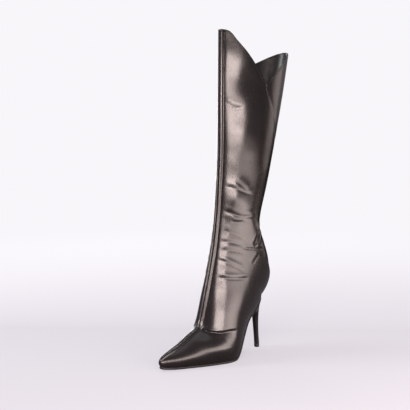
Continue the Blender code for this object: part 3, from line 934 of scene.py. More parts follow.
def sheet(
    name: str, grid: Array, keep: Array | None = None, values: dict[str, Array] | None = None
) -> Object:
    """An open sheet over a grid of points, with values stored on them.

    Args:
        name: its name.
        grid: rows by columns by 3.
        keep: which cells are kept.
        values: numbers by name, rows by columns.

    Returns:
        The object.
    """
    thing = mesh_of(name, grid.reshape(-1, 3), grid_faces(*grid.shape[:2], keep), weld=0.0)
    for key, numbers in (values or {}).items():
        layer = thing.data.attributes.new(key, "FLOAT", "POINT")
        layer.data.foreach_set("value", numbers.reshape(-1).astype(np.float32))
    weld_points(thing.data, 1e-6)
    thing.data.shade_smooth()
    return thing


def tube_of_rings(name: str, rings: Array) -> Object:
    """A closed body through rings of points, with flat ends.

    Args:
        name: its name.
        rings: rings by points by 3.

    Returns:
        The object.
    """
    rows, count = rings.shape[:2]
    wrapped = np.concatenate([rings, rings[:, :1]], axis=1)
    faces = grid_faces(rows, count + 1).tolist()
    first, last = range(count), range((rows - 1) * (count + 1), (rows - 1) * (count + 1) + count)
    return mesh_of(name, wrapped.reshape(-1, 3), faces + [list(first)[::-1], list(last)])


def surface_normals(grid: Array) -> Array:
    """Unit normals of a grid, facing out of the boot."""
    return unit(np.cross(np.gradient(grid, axis=1), np.gradient(grid, axis=0)))


def nearest_on(path: Array, points: Array) -> tuple[Array, Array, Array]:
    """Nearest places on a polyline.

    Args:
        path: the polyline.
        points: the points to measure from.

    Returns:
        Distances, shares along the polyline, and the nearest points.
    """
    best = np.full(len(points), np.inf)
    share = np.zeros(len(points))
    nearest = np.zeros_like(points)
    reach = lengths(path)
    for i in range(len(path) - 1):
        step = path[i + 1] - path[i]
        size = float(step @ step)
        t = np.clip((points - path[i]) @ step / max(size, 1e-18), 0.0, 1.0)
        foot = path[i] + t[:, None] * step
        gap = np.linalg.norm(points - foot, axis=1)
        closer = gap < best
        best[closer] = gap[closer]
        share[closer] = (reach[i] + t[closer] * (reach[i + 1] - reach[i])) / max(reach[-1], 1e-12)
        nearest[closer] = foot[closer]
    return best, share, nearest


# ---- Folds


class Fold(NamedTuple):
    """A soft crease: places (section, share round), half width, depth, and the rolls above and under it in mm.

    lap is how far the leather below it is tucked in under the leather above.
    """

    places: tuple[tuple[float, float], ...]
    width: float
    depth: float
    roll: float = 0.0
    under: float = 0.0
    side: Side = Side.OUTER
    lap: float = 0.0


class Swell(NamedTuple):
    """A broad soft bump or dent: section, share round, radius and height in mm, and its side."""

    section: float
    place: float
    radius: float
    height: float
    side: Side = Side.OUTER


# The reach, the rolls and the lap's width are in widths of the fold, the taper is a share of its length,
# and laps deeper than DEEP_LAP, in mm, shut.
FOLD_REACH = 16
FOLD_TAPER = 0.22
ROLL_PLACE = 2.1
ROLL_WIDTH = 1.7
LAP_WIDTH = 8.0
LAP_POWER = 1.5
DEEP_LAP = 1.0

FOLDS = (
    # shaft
    Fold(((14.36, 0.07), (14.43, 0.175), (14.49, 0.27), (14.55, 0.38), (14.69, 0.52)), 2.6, 0.20, 0.22, lap=0.15),
    Fold(((14.85, 0.22), (14.72, 0.31), (14.66, 0.42)), 3.0, 0.25, 0.3),
    Fold(((13.02, 0.06), (13.11, 0.20), (13.31, 0.33), (13.70, 0.48), (13.96, 0.62)), 2.8, 0.35, 0.3, 0.2),
    Fold(((12.62, 0.16), (12.86, 0.26), (13.18, 0.36)), 2.8, 0.4, 0.3),
    # ankle
    Fold(((11.93, 0.08), (12.07, 0.15), (12.20, 0.24), (12.26, 0.36)), 3.0, 0.16, 0.2, 0.1),
    Fold(((11.40, 0.07), (11.64, 0.17), (11.90, 0.30)), 2.2, 0.14, 0.2, 0.1),
    Fold(((11.04, 0.09), (11.30, 0.18), (11.66, 0.36)), 2.6, 0.24, 0.3, 0.1),
    Fold(((10.66, 0.06), (10.74, 0.16), (10.82, 0.28), (10.94, 0.42)), 2.2, 0.20, 0.4, 0.1),
    Fold(((10.00, 0.11), (10.08, 0.19), (10.25, 0.30), (10.53, 0.42), (10.88, 0.52)), 2.2, 0.35, 0.35, lap=0.3),
    # back of the ankle
    Fold(((11.75, 0.30), (12.07, 0.43), (12.45, 0.575), (12.62, 0.66)), 1.6, 0.5, 0.2),
    Fold(((14.00, 0.84), (13.80, 0.77), (13.37, 0.656), (12.70, 0.525), (12.20, 0.46)), 3.0, 1.9, 1.0, 0.8),
    Fold(((11.46, 0.475), (11.82, 0.506), (12.17, 0.556)), 2.4, 0.4, 0.3),
    # vamp
    Fold(
        ((7.20, 0.08), (7.20, 0.13), (7.28, 0.23), (7.58, 0.35), (8.00, 0.45), (8.32, 0.56), (8.56, 0.66)),
        1.5,
        0.2,
        lap=2.3,
    ),
    Fold(((17.18, 0.04), (17.13, 0.10), (17.10, 0.17), (17.14, 0.25)), 3.2, 0.22, 0.2),
    # inner side
    Fold(((14.30, 0.08), (14.45, 0.22), (14.50, 0.38)), 2.8, 1.1, 0.8, 0.0, Side.INNER),
    Fold(((12.90, 0.08), (13.10, 0.22), (13.30, 0.38)), 2.6, 0.7, 0.5, 0.3, Side.INNER),
    Fold(((12.00, 0.05), (12.20, 0.20), (12.40, 0.36)), 2.8, 0.8, 0.5, 0.4, Side.INNER),
    Fold(((11.30, 0.06), (11.55, 0.20), (11.90, 0.38)), 2.8, 0.8, 0.5, 0.4, Side.INNER),
    Fold(((10.60, 0.08), (10.80, 0.24), (11.10, 0.40)), 2.8, 0.9, 0.6, 0.3, Side.INNER),
    Fold(((10.00, 0.10), (10.20, 0.26), (10.60, 0.44)), 2.6, 1.0, 0.8, 0.0, Side.INNER),
    Fold(((7.20, 0.14), (7.35, 0.22), (7.75, 0.38), (8.25, 0.56), (8.50, 0.66)), 1.5, 0.2, 0.0, 0.0, Side.INNER, 1.4),
    Fold(((14.00, 0.86), (13.60, 0.78), (13.20, 0.68), (12.60, 0.56)), 3.0, 1.6, 0.9, 0.7, Side.INNER),
    Fold(((12.90, 0.88), (12.60, 0.74), (12.30, 0.62)), 2.4, 0.6, 0.4, 0.3, Side.INNER),
)

SWELLS = (
    Swell(9.3, 0.20, 24.0, -1.6),
    Swell(9.5, 0.53, 30.0, 1.8),
    Swell(17.75, 0.09, 20.0, 0.7),
    Swell(17.62, 0.31, 23.0, -3.0),
    Swell(13.60, 0.92, 14.0, 1.8),
    Swell(12.55, 0.90, 12.0, -1.6),
    Swell(13.60, 0.92, 14.0, 1.2, Side.INNER),
    Swell(12.55, 0.90, 12.0, -1.4, Side.INNER),
    Swell(17.0, 0.20, 16.0, -0.6),
    Swell(16.4, 0.34, 22.0, 0.5),
    Swell(15.4, 0.30, 20.0, -0.5),
    Swell(16.0, 0.62, 26.0, -0.7),
    Swell(15.40, 0.18, 16.0, 0.55),
    Swell(13.9, 0.25, 14.0, 0.6),
    Swell(15.8, 0.30, 20.0, -0.6, Side.INNER),
    Swell(16.6, 0.22, 20.0, 0.5, Side.INNER),
)

PANEL_SEAM = ((17.95, 0.485), (17.43, 0.545), (17.08, 0.61), (16.73, 0.69), (16.40, 0.80), (16.15, 0.92), (16.05, 1.0))


# ---- The upper


@dataclass
class Upper:
    """The leather upper: its fine outer skin with folds and seams, its rolled rim and its lining."""

    last: Last
    rows: int = 330
    collar_rows: int = 78
    seam_reach: float = 8.4 * MM
    seam_columns: int = 19
    side_columns: int = 72
    seam_half: float = 3.4 * MM
    seam_flank: float = 3.4 * MM
    seam_lift: float = 2.1 * MM
    seam_roll: Triple = (0.35 * MM, 2.1 * MM, 1.0 * MM)
    seam_groove: Triple = (1.25 * MM, 0.0, 0.75 * MM)
    seam_foot: float = 0.30 * MM
    seam_foot_width: float = 1.1 * MM
    calm_seam: tuple[float, float] = (3.0 * MM, 8.0 * MM)
    calm_edge: tuple[float, float] = (2.0 * MM, 14.0 * MM)
    panel_step: float = 0.5 * MM
    panel_floor: float = 300 * MM
    feather_radius: float = 0.25 * MM
    feather_reach: float = 4.0 * MM
    back_tape: tuple[float, float] = (0.5 * MM, 5.5 * MM)
    front_tape: tuple[float, float] = (0.4 * MM, 5.0 * MM)
    tape_fade: float = 0.8 * MM
    zip_slit: float = 4.6 * MM
    zip_end: float = 9.0
    slit_columns: int = 5
    grid: Array = field(init=False)
    out: Array = field(init=False)
    section_of_row: Array = field(init=False)
    shares: Array = field(init=False)
    reach: Array = field(init=False)
    total: Array = field(init=False)
    ends: Array = field(init=False)
    points: Array = field(init=False)
    up: Array = field(init=False)
    sides: Array = field(init=False)
    marks: dict[str, Array] = field(init=False)
    relief: Array = field(init=False)
    heel_row: int = field(init=False)
    slit_row: int = field(init=False)

    def __post_init__(self) -> None:
        """Work out the fine grid from the last."""
        sections = np.array(self.last.sections())
        steps = 0.5 * (
            np.hypot(*np.diff(sections[:, 0:2], axis=0).T) + np.hypot(*np.diff(sections[:, 2:4], axis=0).T)
        )
        at = np.concatenate([[0.0], np.cumsum(steps)])
        heel = self.last.FOOT_COUNT - 1
        base = at[self.last.COLLAR_SECTION]
        near = np.linspace(0.0, at[1], 8)[:-1]
        foot = np.linspace(at[1], at[heel], int(self.rows * at[heel] / base))
        shaft = np.linspace(at[heel], base, self.rows - len(foot))[1:]
        places = np.concatenate([near, foot, shaft])
        extra = np.linspace(base, at[-1] * 1.001, 24)[1:]
        every = np.concatenate([places, extra])
        values = spline(at, sections, every)
        lattice, reach, total = self._lattice(values, every <= at[heel] + 1e-9)
        low = len(places) - 1
        self.grid, self.reach, self.total = self._cut(lattice, reach, total, low)
        top = np.linspace(0.0, 1.0, self.collar_rows + 1)[1:]
        self.section_of_row = np.concatenate(
            [np.interp(places, at, np.arange(len(at))), self.last.COLLAR_SECTION + top]
        )
        self.heel_row = int(np.argmin(np.abs(places - at[heel])))
        self.slit_row = int(np.argmin(np.abs(self.section_of_row - self.zip_end)))
        self.ends = np.where(self.reach < 0, self.total[:, :1], self.total[:, 1:])
        self.shares = np.abs(self.reach) / self.ends
        self.out = self._normals()
        self.points = self.grid.reshape(-1, 3)
        self.up = unit(np.gradient(self.grid, axis=0)).reshape(-1, 3)
        columns = np.sign(np.arange(self.grid.shape[1]) - self.middle)
        self.sides = np.repeat(columns[None], len(self.grid), 0).reshape(-1)
        self.marks = self._marks()
        self.relief = self._relief()

    @property
    def middle(self) -> int:
        """Column of the centre-front seam."""
        return self.seam_columns + self.side_columns

    def _columns(self, length: float, side: Side) -> Array:
        """Places of the columns along a half section of a length.

        Args:
            length: the half section's length.
            side: its side.

        Returns:
            Reaches from the front seam.
        """
        near_end = min(self.seam_reach, 0.3 * length)
        near = np.linspace(0.0, near_end, self.seam_columns + 1)
        if side is Side.OUTER:
            return np.concatenate([near, np.linspace(near_end, length, self.side_columns + 1)[1:]])
        seam = min(4.0 * MM, 0.2 * length) + min(0.7 * MM, 0.05 * length)
        slit = min(self.zip_slit / 2, 0.06 * length)
        centre = seam + self.last.notch_place * (length - seam)
        fore_count = self.side_columns // 2 - self.slit_columns
        fore = np.linspace(near_end, centre - slit, fore_count + 1)[1:]
        across = np.linspace(centre - slit, centre + slit, self.slit_columns + 1)[1:]
        aft_count = self.side_columns - fore_count - self.slit_columns
        aft = np.linspace(centre + slit, length, aft_count + 1)[1:]
        return np.concatenate([near, fore, across, aft])

    @property
    def slit_cells(self) -> slice:
        """Columns of cells that the zip's slit takes."""
        first = self.middle - self.seam_columns - (self.side_columns // 2 - self.slit_columns) - self.slit_columns
        return slice(first, first + self.slit_columns)

    def _lattice(self, values: Array, on_sole: Array) -> tuple[Array, Array, Array]:
        """Points of all rows, with their signed reach from the front seam and each half's length.

        Args:
            values: each row's section as numbers.
            on_sole: which rows end on the sole's edge.

        Returns:
            The points, their reaches, and the halves' lengths.
        """
        rows, reaches, totals = [], [], []
        for numbers, low in zip(values, on_sole):
            section = Section(*numbers)
            halves, reach, total = [], [], []
            for side in (Side.INNER, Side.OUTER):
                points = self.last.half_section(section, side, bool(low))
                length = lengths(points)[-1]
                columns = self._columns(length, side)
                halves.append(along(points, columns))
                reach.append(columns)
                total.append(length)
            rows.append(np.concatenate([halves[0][:0:-1], halves[1]]))
            reaches.append(np.concatenate([-reach[0][:0:-1], reach[1]]))
            totals.append(total)
        return np.array(rows), np.array(reaches), np.array(totals)

    def _cut(
        self, lattice: Array, reach: Array, total: Array, low: int
    ) -> tuple[Array, Array, Array]:
        """Spread the rows above low, column by column, up to the topline.

        Args:
            lattice: the rows' points.
            reach: their reaches.
            total: the halves' lengths.
            low: the last row left as it is.

        Returns:
            The points, reaches and lengths of all rows.
        """
        shares = np.linspace(0.0, 1.0, self.collar_rows + 1)[1:]
        grids, reaches = [], []
        for column in range(lattice.shape[1]):
            inner = column < self.middle
            side = Side.INNER if inner else Side.OUTER
            line = lattice[low:, column]
            place = abs(reach[low, column]) / total[low, 0 if inner else 1]
            height = float(self.last.topline(np.array(place), side))
            levels = line[0, 2] + shares * (height - line[0, 2])
            grids.append(lookup(levels, line[:, 2], line))
            reaches.append(np.interp(levels, line[:, 2], reach[low:, column]))
        grid = np.concatenate([lattice[: low + 1], np.stack(grids, axis=1)])
        return (
            grid,
            np.concatenate([reach[: low + 1], np.stack(reaches, axis=1)]),
            np.concatenate([total[: low + 1], np.repeat(total[low : low + 1], self.collar_rows, axis=0)]),
        )

    def _normals(self) -> Array:
        """Normals of the grid, even across the back seam and at the toe's point.

        Returns:
            Unit normals, rows by columns.
        """
        out = surface_normals(self.grid)
        back = out[self.heel_row :, 0] + out[self.heel_row :, -1]
        back[:, 0] = 0.0
        out[self.heel_row :, 0] = back
        out[self.heel_row :, -1] = back
        out[0] = (0.0, -1.0, 0.0)
        return unit(out)

    def spot(self, section: float, share: float, side: Side) -> Array:
        """A point of the skin.

        Args:
            section: its place along the fan, counted in sections.
            share: its share round the half, from the front seam.
            side: the side.

        Returns:
            The point.
        """
        row = np.interp(section, self.section_of_row, np.arange(len(self.section_of_row)))
        low = int(min(row, len(self.grid) - 2))
        points = []
        for number in (low, low + 1):
            if side is Side.OUTER:
                line, shares = self.grid[number, self.middle :], self.shares[number, self.middle :]
            else:
                line, shares = self.grid[number, self.middle :: -1], self.shares[number, self.middle :: -1]
            points.append(lookup(share, shares, line))
        return points[0] + (row - low) * (points[1] - points[0])

    def path(self, places: Sequence[tuple[float, float]], side: Side, count: int = 40) -> Array:
        """A smooth line over the skin through places.

        Args:
            places: sections and shares round.
            side: the side.
            count: how many points it gets.

        Returns:
            The line's points.
        """
        knots = np.array(places)
        at = np.arange(len(knots), dtype=float)
        fine = spline(at, knots, np.linspace(0.0, at[-1], count))
        return np.array([self.spot(section, share, side) for section, share in fine])

    def _relief(self) -> Array:
        """How far the folds, swells and seams stand out of the skin.

        Returns:
            Heights, rows by columns.
        """
        height = np.zeros(len(self.points))
        for fold in FOLDS:
            height += self._fold(fold)
        for swell in SWELLS:
            mine = self.sides * swell.side.value >= 0
            centre = self.spot(swell.section, swell.place, swell.side)
            gap = np.linalg.norm(self.points[mine] - centre, axis=1)
            height[mine] += ridge(gap, swell.height * MM, 0.0, swell.radius * MM)
        height += self._ripple()
        height = height.reshape(self.reach.shape)
        start, over = self.calm_seam
        height *= 0.25 + 0.75 * smooth((np.abs(self.reach) - start) / over)
        start, over = self.calm_edge
        height *= smooth((self._from_end() - start) / over) * 0.85 + 0.15
        panel = self.marks["panel"]
        height -= self.panel_step * smooth((panel + 0.5) / 1.2) * smooth((12.0 - panel) / 10.0)
        return height + self._front_seam()

    def _offset(self, path: Array, mine: Array) -> tuple[Array, Array, Array]:
        """Where points of the skin lie from a line over it.

        Args:
            path: the line.
            mine: which points are asked for.

        Returns:
            Distances, shares along the line, and how far up the boot from it.
        """
        points = self.points[mine]
        gap, share, foot = nearest_on(path, points)
        return gap, share, np.einsum("ij,ij->i", points - foot, self.up[mine])

    def _shut(self) -> Array:
        """How near each point lies to the shut line of a deep crease.

        Returns:
            Shares from 0 to 1, rows by columns.
        """
        shut = np.zeros(len(self.points))
        for fold in (each for each in FOLDS if each.lap > DEEP_LAP):
            mine = self.sides * fold.side.value > 0
            gap, share, rise = self._offset(self.path(fold.places, fold.side), mine)
            signed = gap * np.sign(rise) / MM
            line = smooth((1.6 - signed) / 1.2) * smooth((signed + 8.0) / 7.0)
            shut[mine] = np.maximum(shut[mine], line * smooth(share / 0.15) * smooth((1.0 - share) / 0.2))
        return shut.reshape(self.reach.shape)

    def _fold(self, fold: Fold) -> Array:
        """Relief of one fold.

        Args:
            fold: the fold.

        Returns:
            Heights at all points.
        """
        path = self.path(fold.places, fold.side)
        width = fold.width * MM
        low, high = path.min(axis=0) - FOLD_REACH * width, path.max(axis=0) + FOLD_REACH * width
        near = np.all((self.points > low) & (self.points < high), axis=1) & (self.sides * fold.side.value >= 0)
        gap, share, rise = self._offset(path, near)
        signed = gap * np.sign(rise)
        taper = smooth(share / FOLD_TAPER) * smooth((1.0 - share) / FOLD_TAPER)
        rolled = ridge(signed, fold.roll, ROLL_PLACE * width, ROLL_WIDTH * width)
        lower = ridge(signed, fold.under, -ROLL_PLACE * width, ROLL_WIDTH * width)
        tucked = np.exp(-((np.maximum(-signed, 0.0) / (LAP_WIDTH * width)) ** LAP_POWER))
        lap = fold.lap * smooth(0.5 - signed / width) * tucked
        relief = np.zeros(len(self.points))
        relief[near] = MM * taper * (rolled + lower - lap - ridge(gap, fold.depth, 0.0, width))
        return relief

    def _ripple(self) -> Array:
        """Slight unevenness of worn leather.

        Returns:
            Heights at all points.
        """
        ripple = np.empty(len(self.points))
        for i, (x, y, z) in enumerate(self.points.tolist()):
            broad = noise.noise(Vector((x * 28, y * 28, z * 20)))
            fine = noise.noise(Vector((x * 80 + 9, y * 80, z * 62)))
            ripple[i] = 0.32 * broad + 0.07 * fine
        return ripple * MM

    def _from_end(self) -> Array:
        """Distance of each point from the sole's edge, large above the foot.

        Returns:
            Distances, rows by columns.
        """
        gap = self.ends - np.abs(self.reach)
        gap[self.heel_row + 4 :] = 1.0
        return gap

    def _front_seam(self) -> Array:
        """Relief of the raised centre-front seam: two rolls with a groove between them.

        Returns:
            Heights, rows by columns.
        """
        scale = np.minimum(self.total.min(axis=1, keepdims=True) / (40.0 * MM), 1.0)
        gap = np.abs(self.reach) / np.maximum(scale, 0.15)
        flank = self.seam_flank
        plateau = smooth((self.seam_half + flank - gap) / flank)
        roll, groove = ridge(gap, *self.seam_roll), ridge(gap, *self.seam_groove)
        foot = ridge(gap - self.seam_half, self.seam_foot, flank, self.seam_foot_width)
        return scale * (self.seam_lift * plateau + roll - groove - foot)

    def _from_back(self, below: float) -> Array:
        """Distance of each point from the back seam.

        Args:
            below: the distance given under the seam's end.

        Returns:
            Distances, rows by columns.
        """
        back = (1.0 - self.shares) * self.ends
        back[: self.heel_row] = below
        return back

    def _marks(self) -> dict[str, Array]:
        """What the leather's finish reads, rows by columns.

        Returns:
            Distances in mm from the panel seam, above it positive, the back seam and the rim, and the shut creases.
        """
        panel = np.full(len(self.points), 50.0)
        high = self.points[:, 2] > self.panel_floor
        for side in Side:
            mine = high & (self.points[:, 0] * side.value >= -1e-6)
            gap, _, rise = self._offset(self.path(PANEL_SEAM, side, 60), mine)
            panel[mine] = gap * np.where(rise < 0, -1.0, 1.0) / MM
        rim = np.full(self.reach.shape, 60.0)
        top = slice(len(self.grid) - self.collar_rows, None)
        steps = np.linalg.norm(np.diff(self.grid[top], axis=0), axis=2)
        climb = np.concatenate([np.cumsum(steps[::-1], axis=0)[::-1], np.zeros_like(steps[:1])]) / MM
        run = np.linalg.norm(np.gradient(self.grid[-1, :, :2], axis=0), axis=1)
        slant = np.abs(np.gradient(self.grid[-1, :, 2]) / np.maximum(run, 1e-6))
        rim[top] = climb / np.hypot(1.0, np.minimum(slant, 3.0))
        back = self._from_back(self.total.max()) / MM
        return {"panel": panel.reshape(self.reach.shape), "back": back, "rim": rim, "shut": self._shut()}

    def skin(self) -> Array:
        """The outer face with all its relief."""
        return self.grid + self.out * self.relief[..., None]

    def build(self, leather: Material, lining: Material) -> None:
        """Make and dress the outer skin, the turned-in lower edge and the lining.

        Args:
            leather: the upper's finish.
            lining: the lining's finish.
        """
        face = self.skin()
        keep = np.ones((face.shape[0] - 1, face.shape[1] - 1), bool)
        keep[self.slit_row :, self.slit_cells] = False
        rim = self._rim(face)
        rim_values = {key: np.concatenate([v, np.repeat(v[-1:], len(rim), 0)]) for key, v in self.marks.items()}
        full = np.concatenate([face, rim])
        keep = np.concatenate([keep, np.repeat(keep[-1:], len(rim), 0)])
        skin = sheet("upper_leather", full, keep, rim_values)
        dress(skin, leather, "upper_leather", BODY, "upper")
        log.info("upper leather: %d faces", len(skin.data.polygons))
        self._feather(face, leather)
        self._lining(keep[: len(face) - 1], lining, face)

    def _rim(self, face: Array) -> Array:
        """Rows that roll the topline over the wall's thickness.

        Args:
            face: the outer face.

        Returns:
            The rows, from the outside in.
        """
        up = unit(face[-1] - face[-3])
        inward = -self.out[-1]
        turn = np.linspace(0.0, pi, 8)[1:]
        half = self.last.wall / 2
        return np.stack([face[-1] + inward * half * (1 - cos(a)) + up * half * 0.9 * sin(a) for a in turn])

    def _feather(self, face: Array, leather: Material) -> None:
        """The lower edge, turned in over the insole's rim.

        Args:
            face: the outer face.
            leather: its finish.
        """
        down = np.array([0.0, 0.0, -1.0])
        radius = self.feather_radius
        for name, column in (("feather_inner", 0), ("feather_outer", -1)):
            edge = face[: self.heel_row + 1, column]
            out = self.out[: self.heel_row + 1, column].copy()
            out[:, 2] = 0.0
            out = unit(out)
            turn = np.linspace(0.0, pi / 2, 5)
            curl = [edge - out * radius * (1 - cos(a)) * 2 + down * radius * sin(a) * 0.8 for a in turn]
            curl.append(curl[-1] - out * self.feather_reach)
            dress(sheet(name, np.stack(curl, axis=1)), leather, "upper_leather", BODY)

    def _lining(self, keep: Array, finish: Material, face: Array) -> None:
        """The inner face, with a tape along the back seam and the front seam.

        Args:
            keep: which cells are kept.
            finish: the lining's finish.
            face: the outer face.
        """
        wall = self.last.wall
        back = self._from_back(1.0)
        tape = ridge(back, 0.25 * MM, 0.0, 0.7 * MM)
        for gap, (thick, half) in ((back, self.back_tape), (np.abs(self.reach), self.front_tape)):
            tape += thick * smooth((half - gap) / self.tape_fade)
        calm = np.minimum(self.relief, 0.3 * MM) * 0.6
        inner = self.grid + self.out * (calm - wall - tape)[..., None]
        inner[-1] = self._rim(face)[-1]
        for column in range(inner.shape[1]):
            side = np.sign(column - self.middle)
            least = 0.12 * np.abs(self.grid[:, column, 0])
            inner[:, column, 0] = side * np.maximum(side * inner[:, column, 0], least) if side else 0.0
        rows = np.unique(np.concatenate([np.arange(0, len(inner) - 1, 2), [len(inner) - 1]]))
        piece = sheet("lining", inner[rows], keep[rows[:-1]])
        dress(piece, finish, "insole_lining", BODY)
        log.info("lining: %d faces", len(piece.data.polygons))


def dress(
    piece: Object, finish: Material, slot: str, body: str, *nodes: str
) -> Object:
    """Give a piece its finish and seat it on its body.

    Args:
        piece: the piece.
        finish: its material.
        slot: the record's material slot, not used.
        body: the body it rides on.
        nodes: the CAD nodes that it stands for.

    Returns:
        The piece.
    """
    piece.data.materials.clear()
    piece.data.materials.append(finish)
    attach(piece, body)
    if nodes:
        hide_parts(*nodes)
    return piece


# ---- Soles


@dataclass
class Bottom:
    """Outsole and insole, swept along the seat line."""

    last: Last
    margin: float = 0.6 * MM
    insole_inset: float = 3.2 * MM
    insole: float = 2.0 * MM
    stations: int = 260

    EDGE = ((0.4, 0.0), (0.1, 0.05), (0.0, 0.16), (0.0, 0.45), (0.15, 0.65), (0.6, 0.86), (1.3, 0.97), (2.2, 1.0))

    def _edge(self, inset: float) -> tuple[Array, Array]:
        """Both edges of the outline at shared stations, from toe to heel, offset inwards.

        Args:
            inset: how far inwards.

        Returns:
            The inner and the outer edge.
        """
        turn = np.linspace(0.0, pi, self.stations)
        low, high = -self.last.toe_reach, self.last.seat_reach
        y = low + (high - low) * (1 - np.cos(turn)) / 2
        edges = []
        for side in Side:
            x = side.value * self.last.half_width(y, side)
            line = np.stack([x, y], axis=1)
            run = np.gradient(line, axis=0)
            run[0], run[-1] = (side.value, 0.0), (-side.value, 0.0)
            normal = unit(np.stack([run[:, 1], -run[:, 0]], axis=1)) * side.value
            edges.append(line - normal * inset)
        return edges[0], edges[1]

    def _plate(self, name: str, rings: Sequence[Triple]) -> Object:
        """A plate along the seat line.

        Args:
            name: the plate's name.
            rings: inset, share of the outsole's thickness down and rise of each ring, from the upper face down.

        Returns:
            The object.
        """
        loops = []
        for inset, share, rise in rings:
            inner, outer = self._edge(inset)
            loop = np.concatenate([outer, inner[::-1]])
            height, rate = self.last.seat(np.clip(loop[:, 1], -self.last.toe_reach, self.last.seat_reach))
            lean = unit(np.stack([-rate, np.ones_like(rate)], axis=1))
            depth = rise - share * self._outsole_depth(loop[:, 1])
            loops.append(
                np.stack([loop[:, 0], loop[:, 1] + lean[:, 0] * depth, height + lean[:, 1] * depth], axis=1)
            )
        count, size = len(loops), len(loops[0])
        wrapped = np.array(loops)
        wrapped = np.concatenate([wrapped, wrapped[:, :1]], axis=1)
        faces = grid_faces(count, size + 1).tolist()
        half = size // 2
        for level in (0, count - 1):
            start = level * (size + 1)
            for i in range(half - 1):
                faces.append([start + i, start + i + 1, start + size - 2 - i, start + size - 1 - i])
        return mesh_of(name, wrapped.reshape(-1, 3), faces)

    def _outsole_depth(self, y: Array) -> Array:
        """Thickness of the outsole: full under the forefoot, thin under the heel seat.

        Args:
            y: places along the foot.

        Returns:
            Thicknesses there.
        """
        toe = self.last.toe_reach
        share = smooth((y + 0.430 * toe) / (0.430 * toe - 0.160 * toe))
        return self.last.outsole + (self.last.seat_outsole - self.last.outsole) * share

    def build(self, sole: Material, lining: Material) -> None:
        """Make and dress both soles.

        Args:
            sole: the outsole's finish.
            lining: the insole's finish.
        """
        edge = [(-self.margin + inset * MM, share, 0.0) for inset, share in self.EDGE]
        outsole = self._plate("outsole_edge", edge)
        dress(outsole, sole, "sole", BODY, "outsole")
        gap, top = self.last.gap, self.last.gap + self.insole
        steps = ((1.2 * MM, top + 0.1 * MM), (0.4 * MM, top - 0.1 * MM), (0.0, top - 0.6 * MM), (0.0, gap))
        insole = self._plate("insole_sock", [(self.insole_inset + inset, 0.0, rise) for inset, rise in steps])
        dress(insole, lining, "insole_lining", BODY, "insole")
        log.info("soles: %d faces", len(outsole.data.polygons) + len(insole.data.polygons))


# ---- Heel


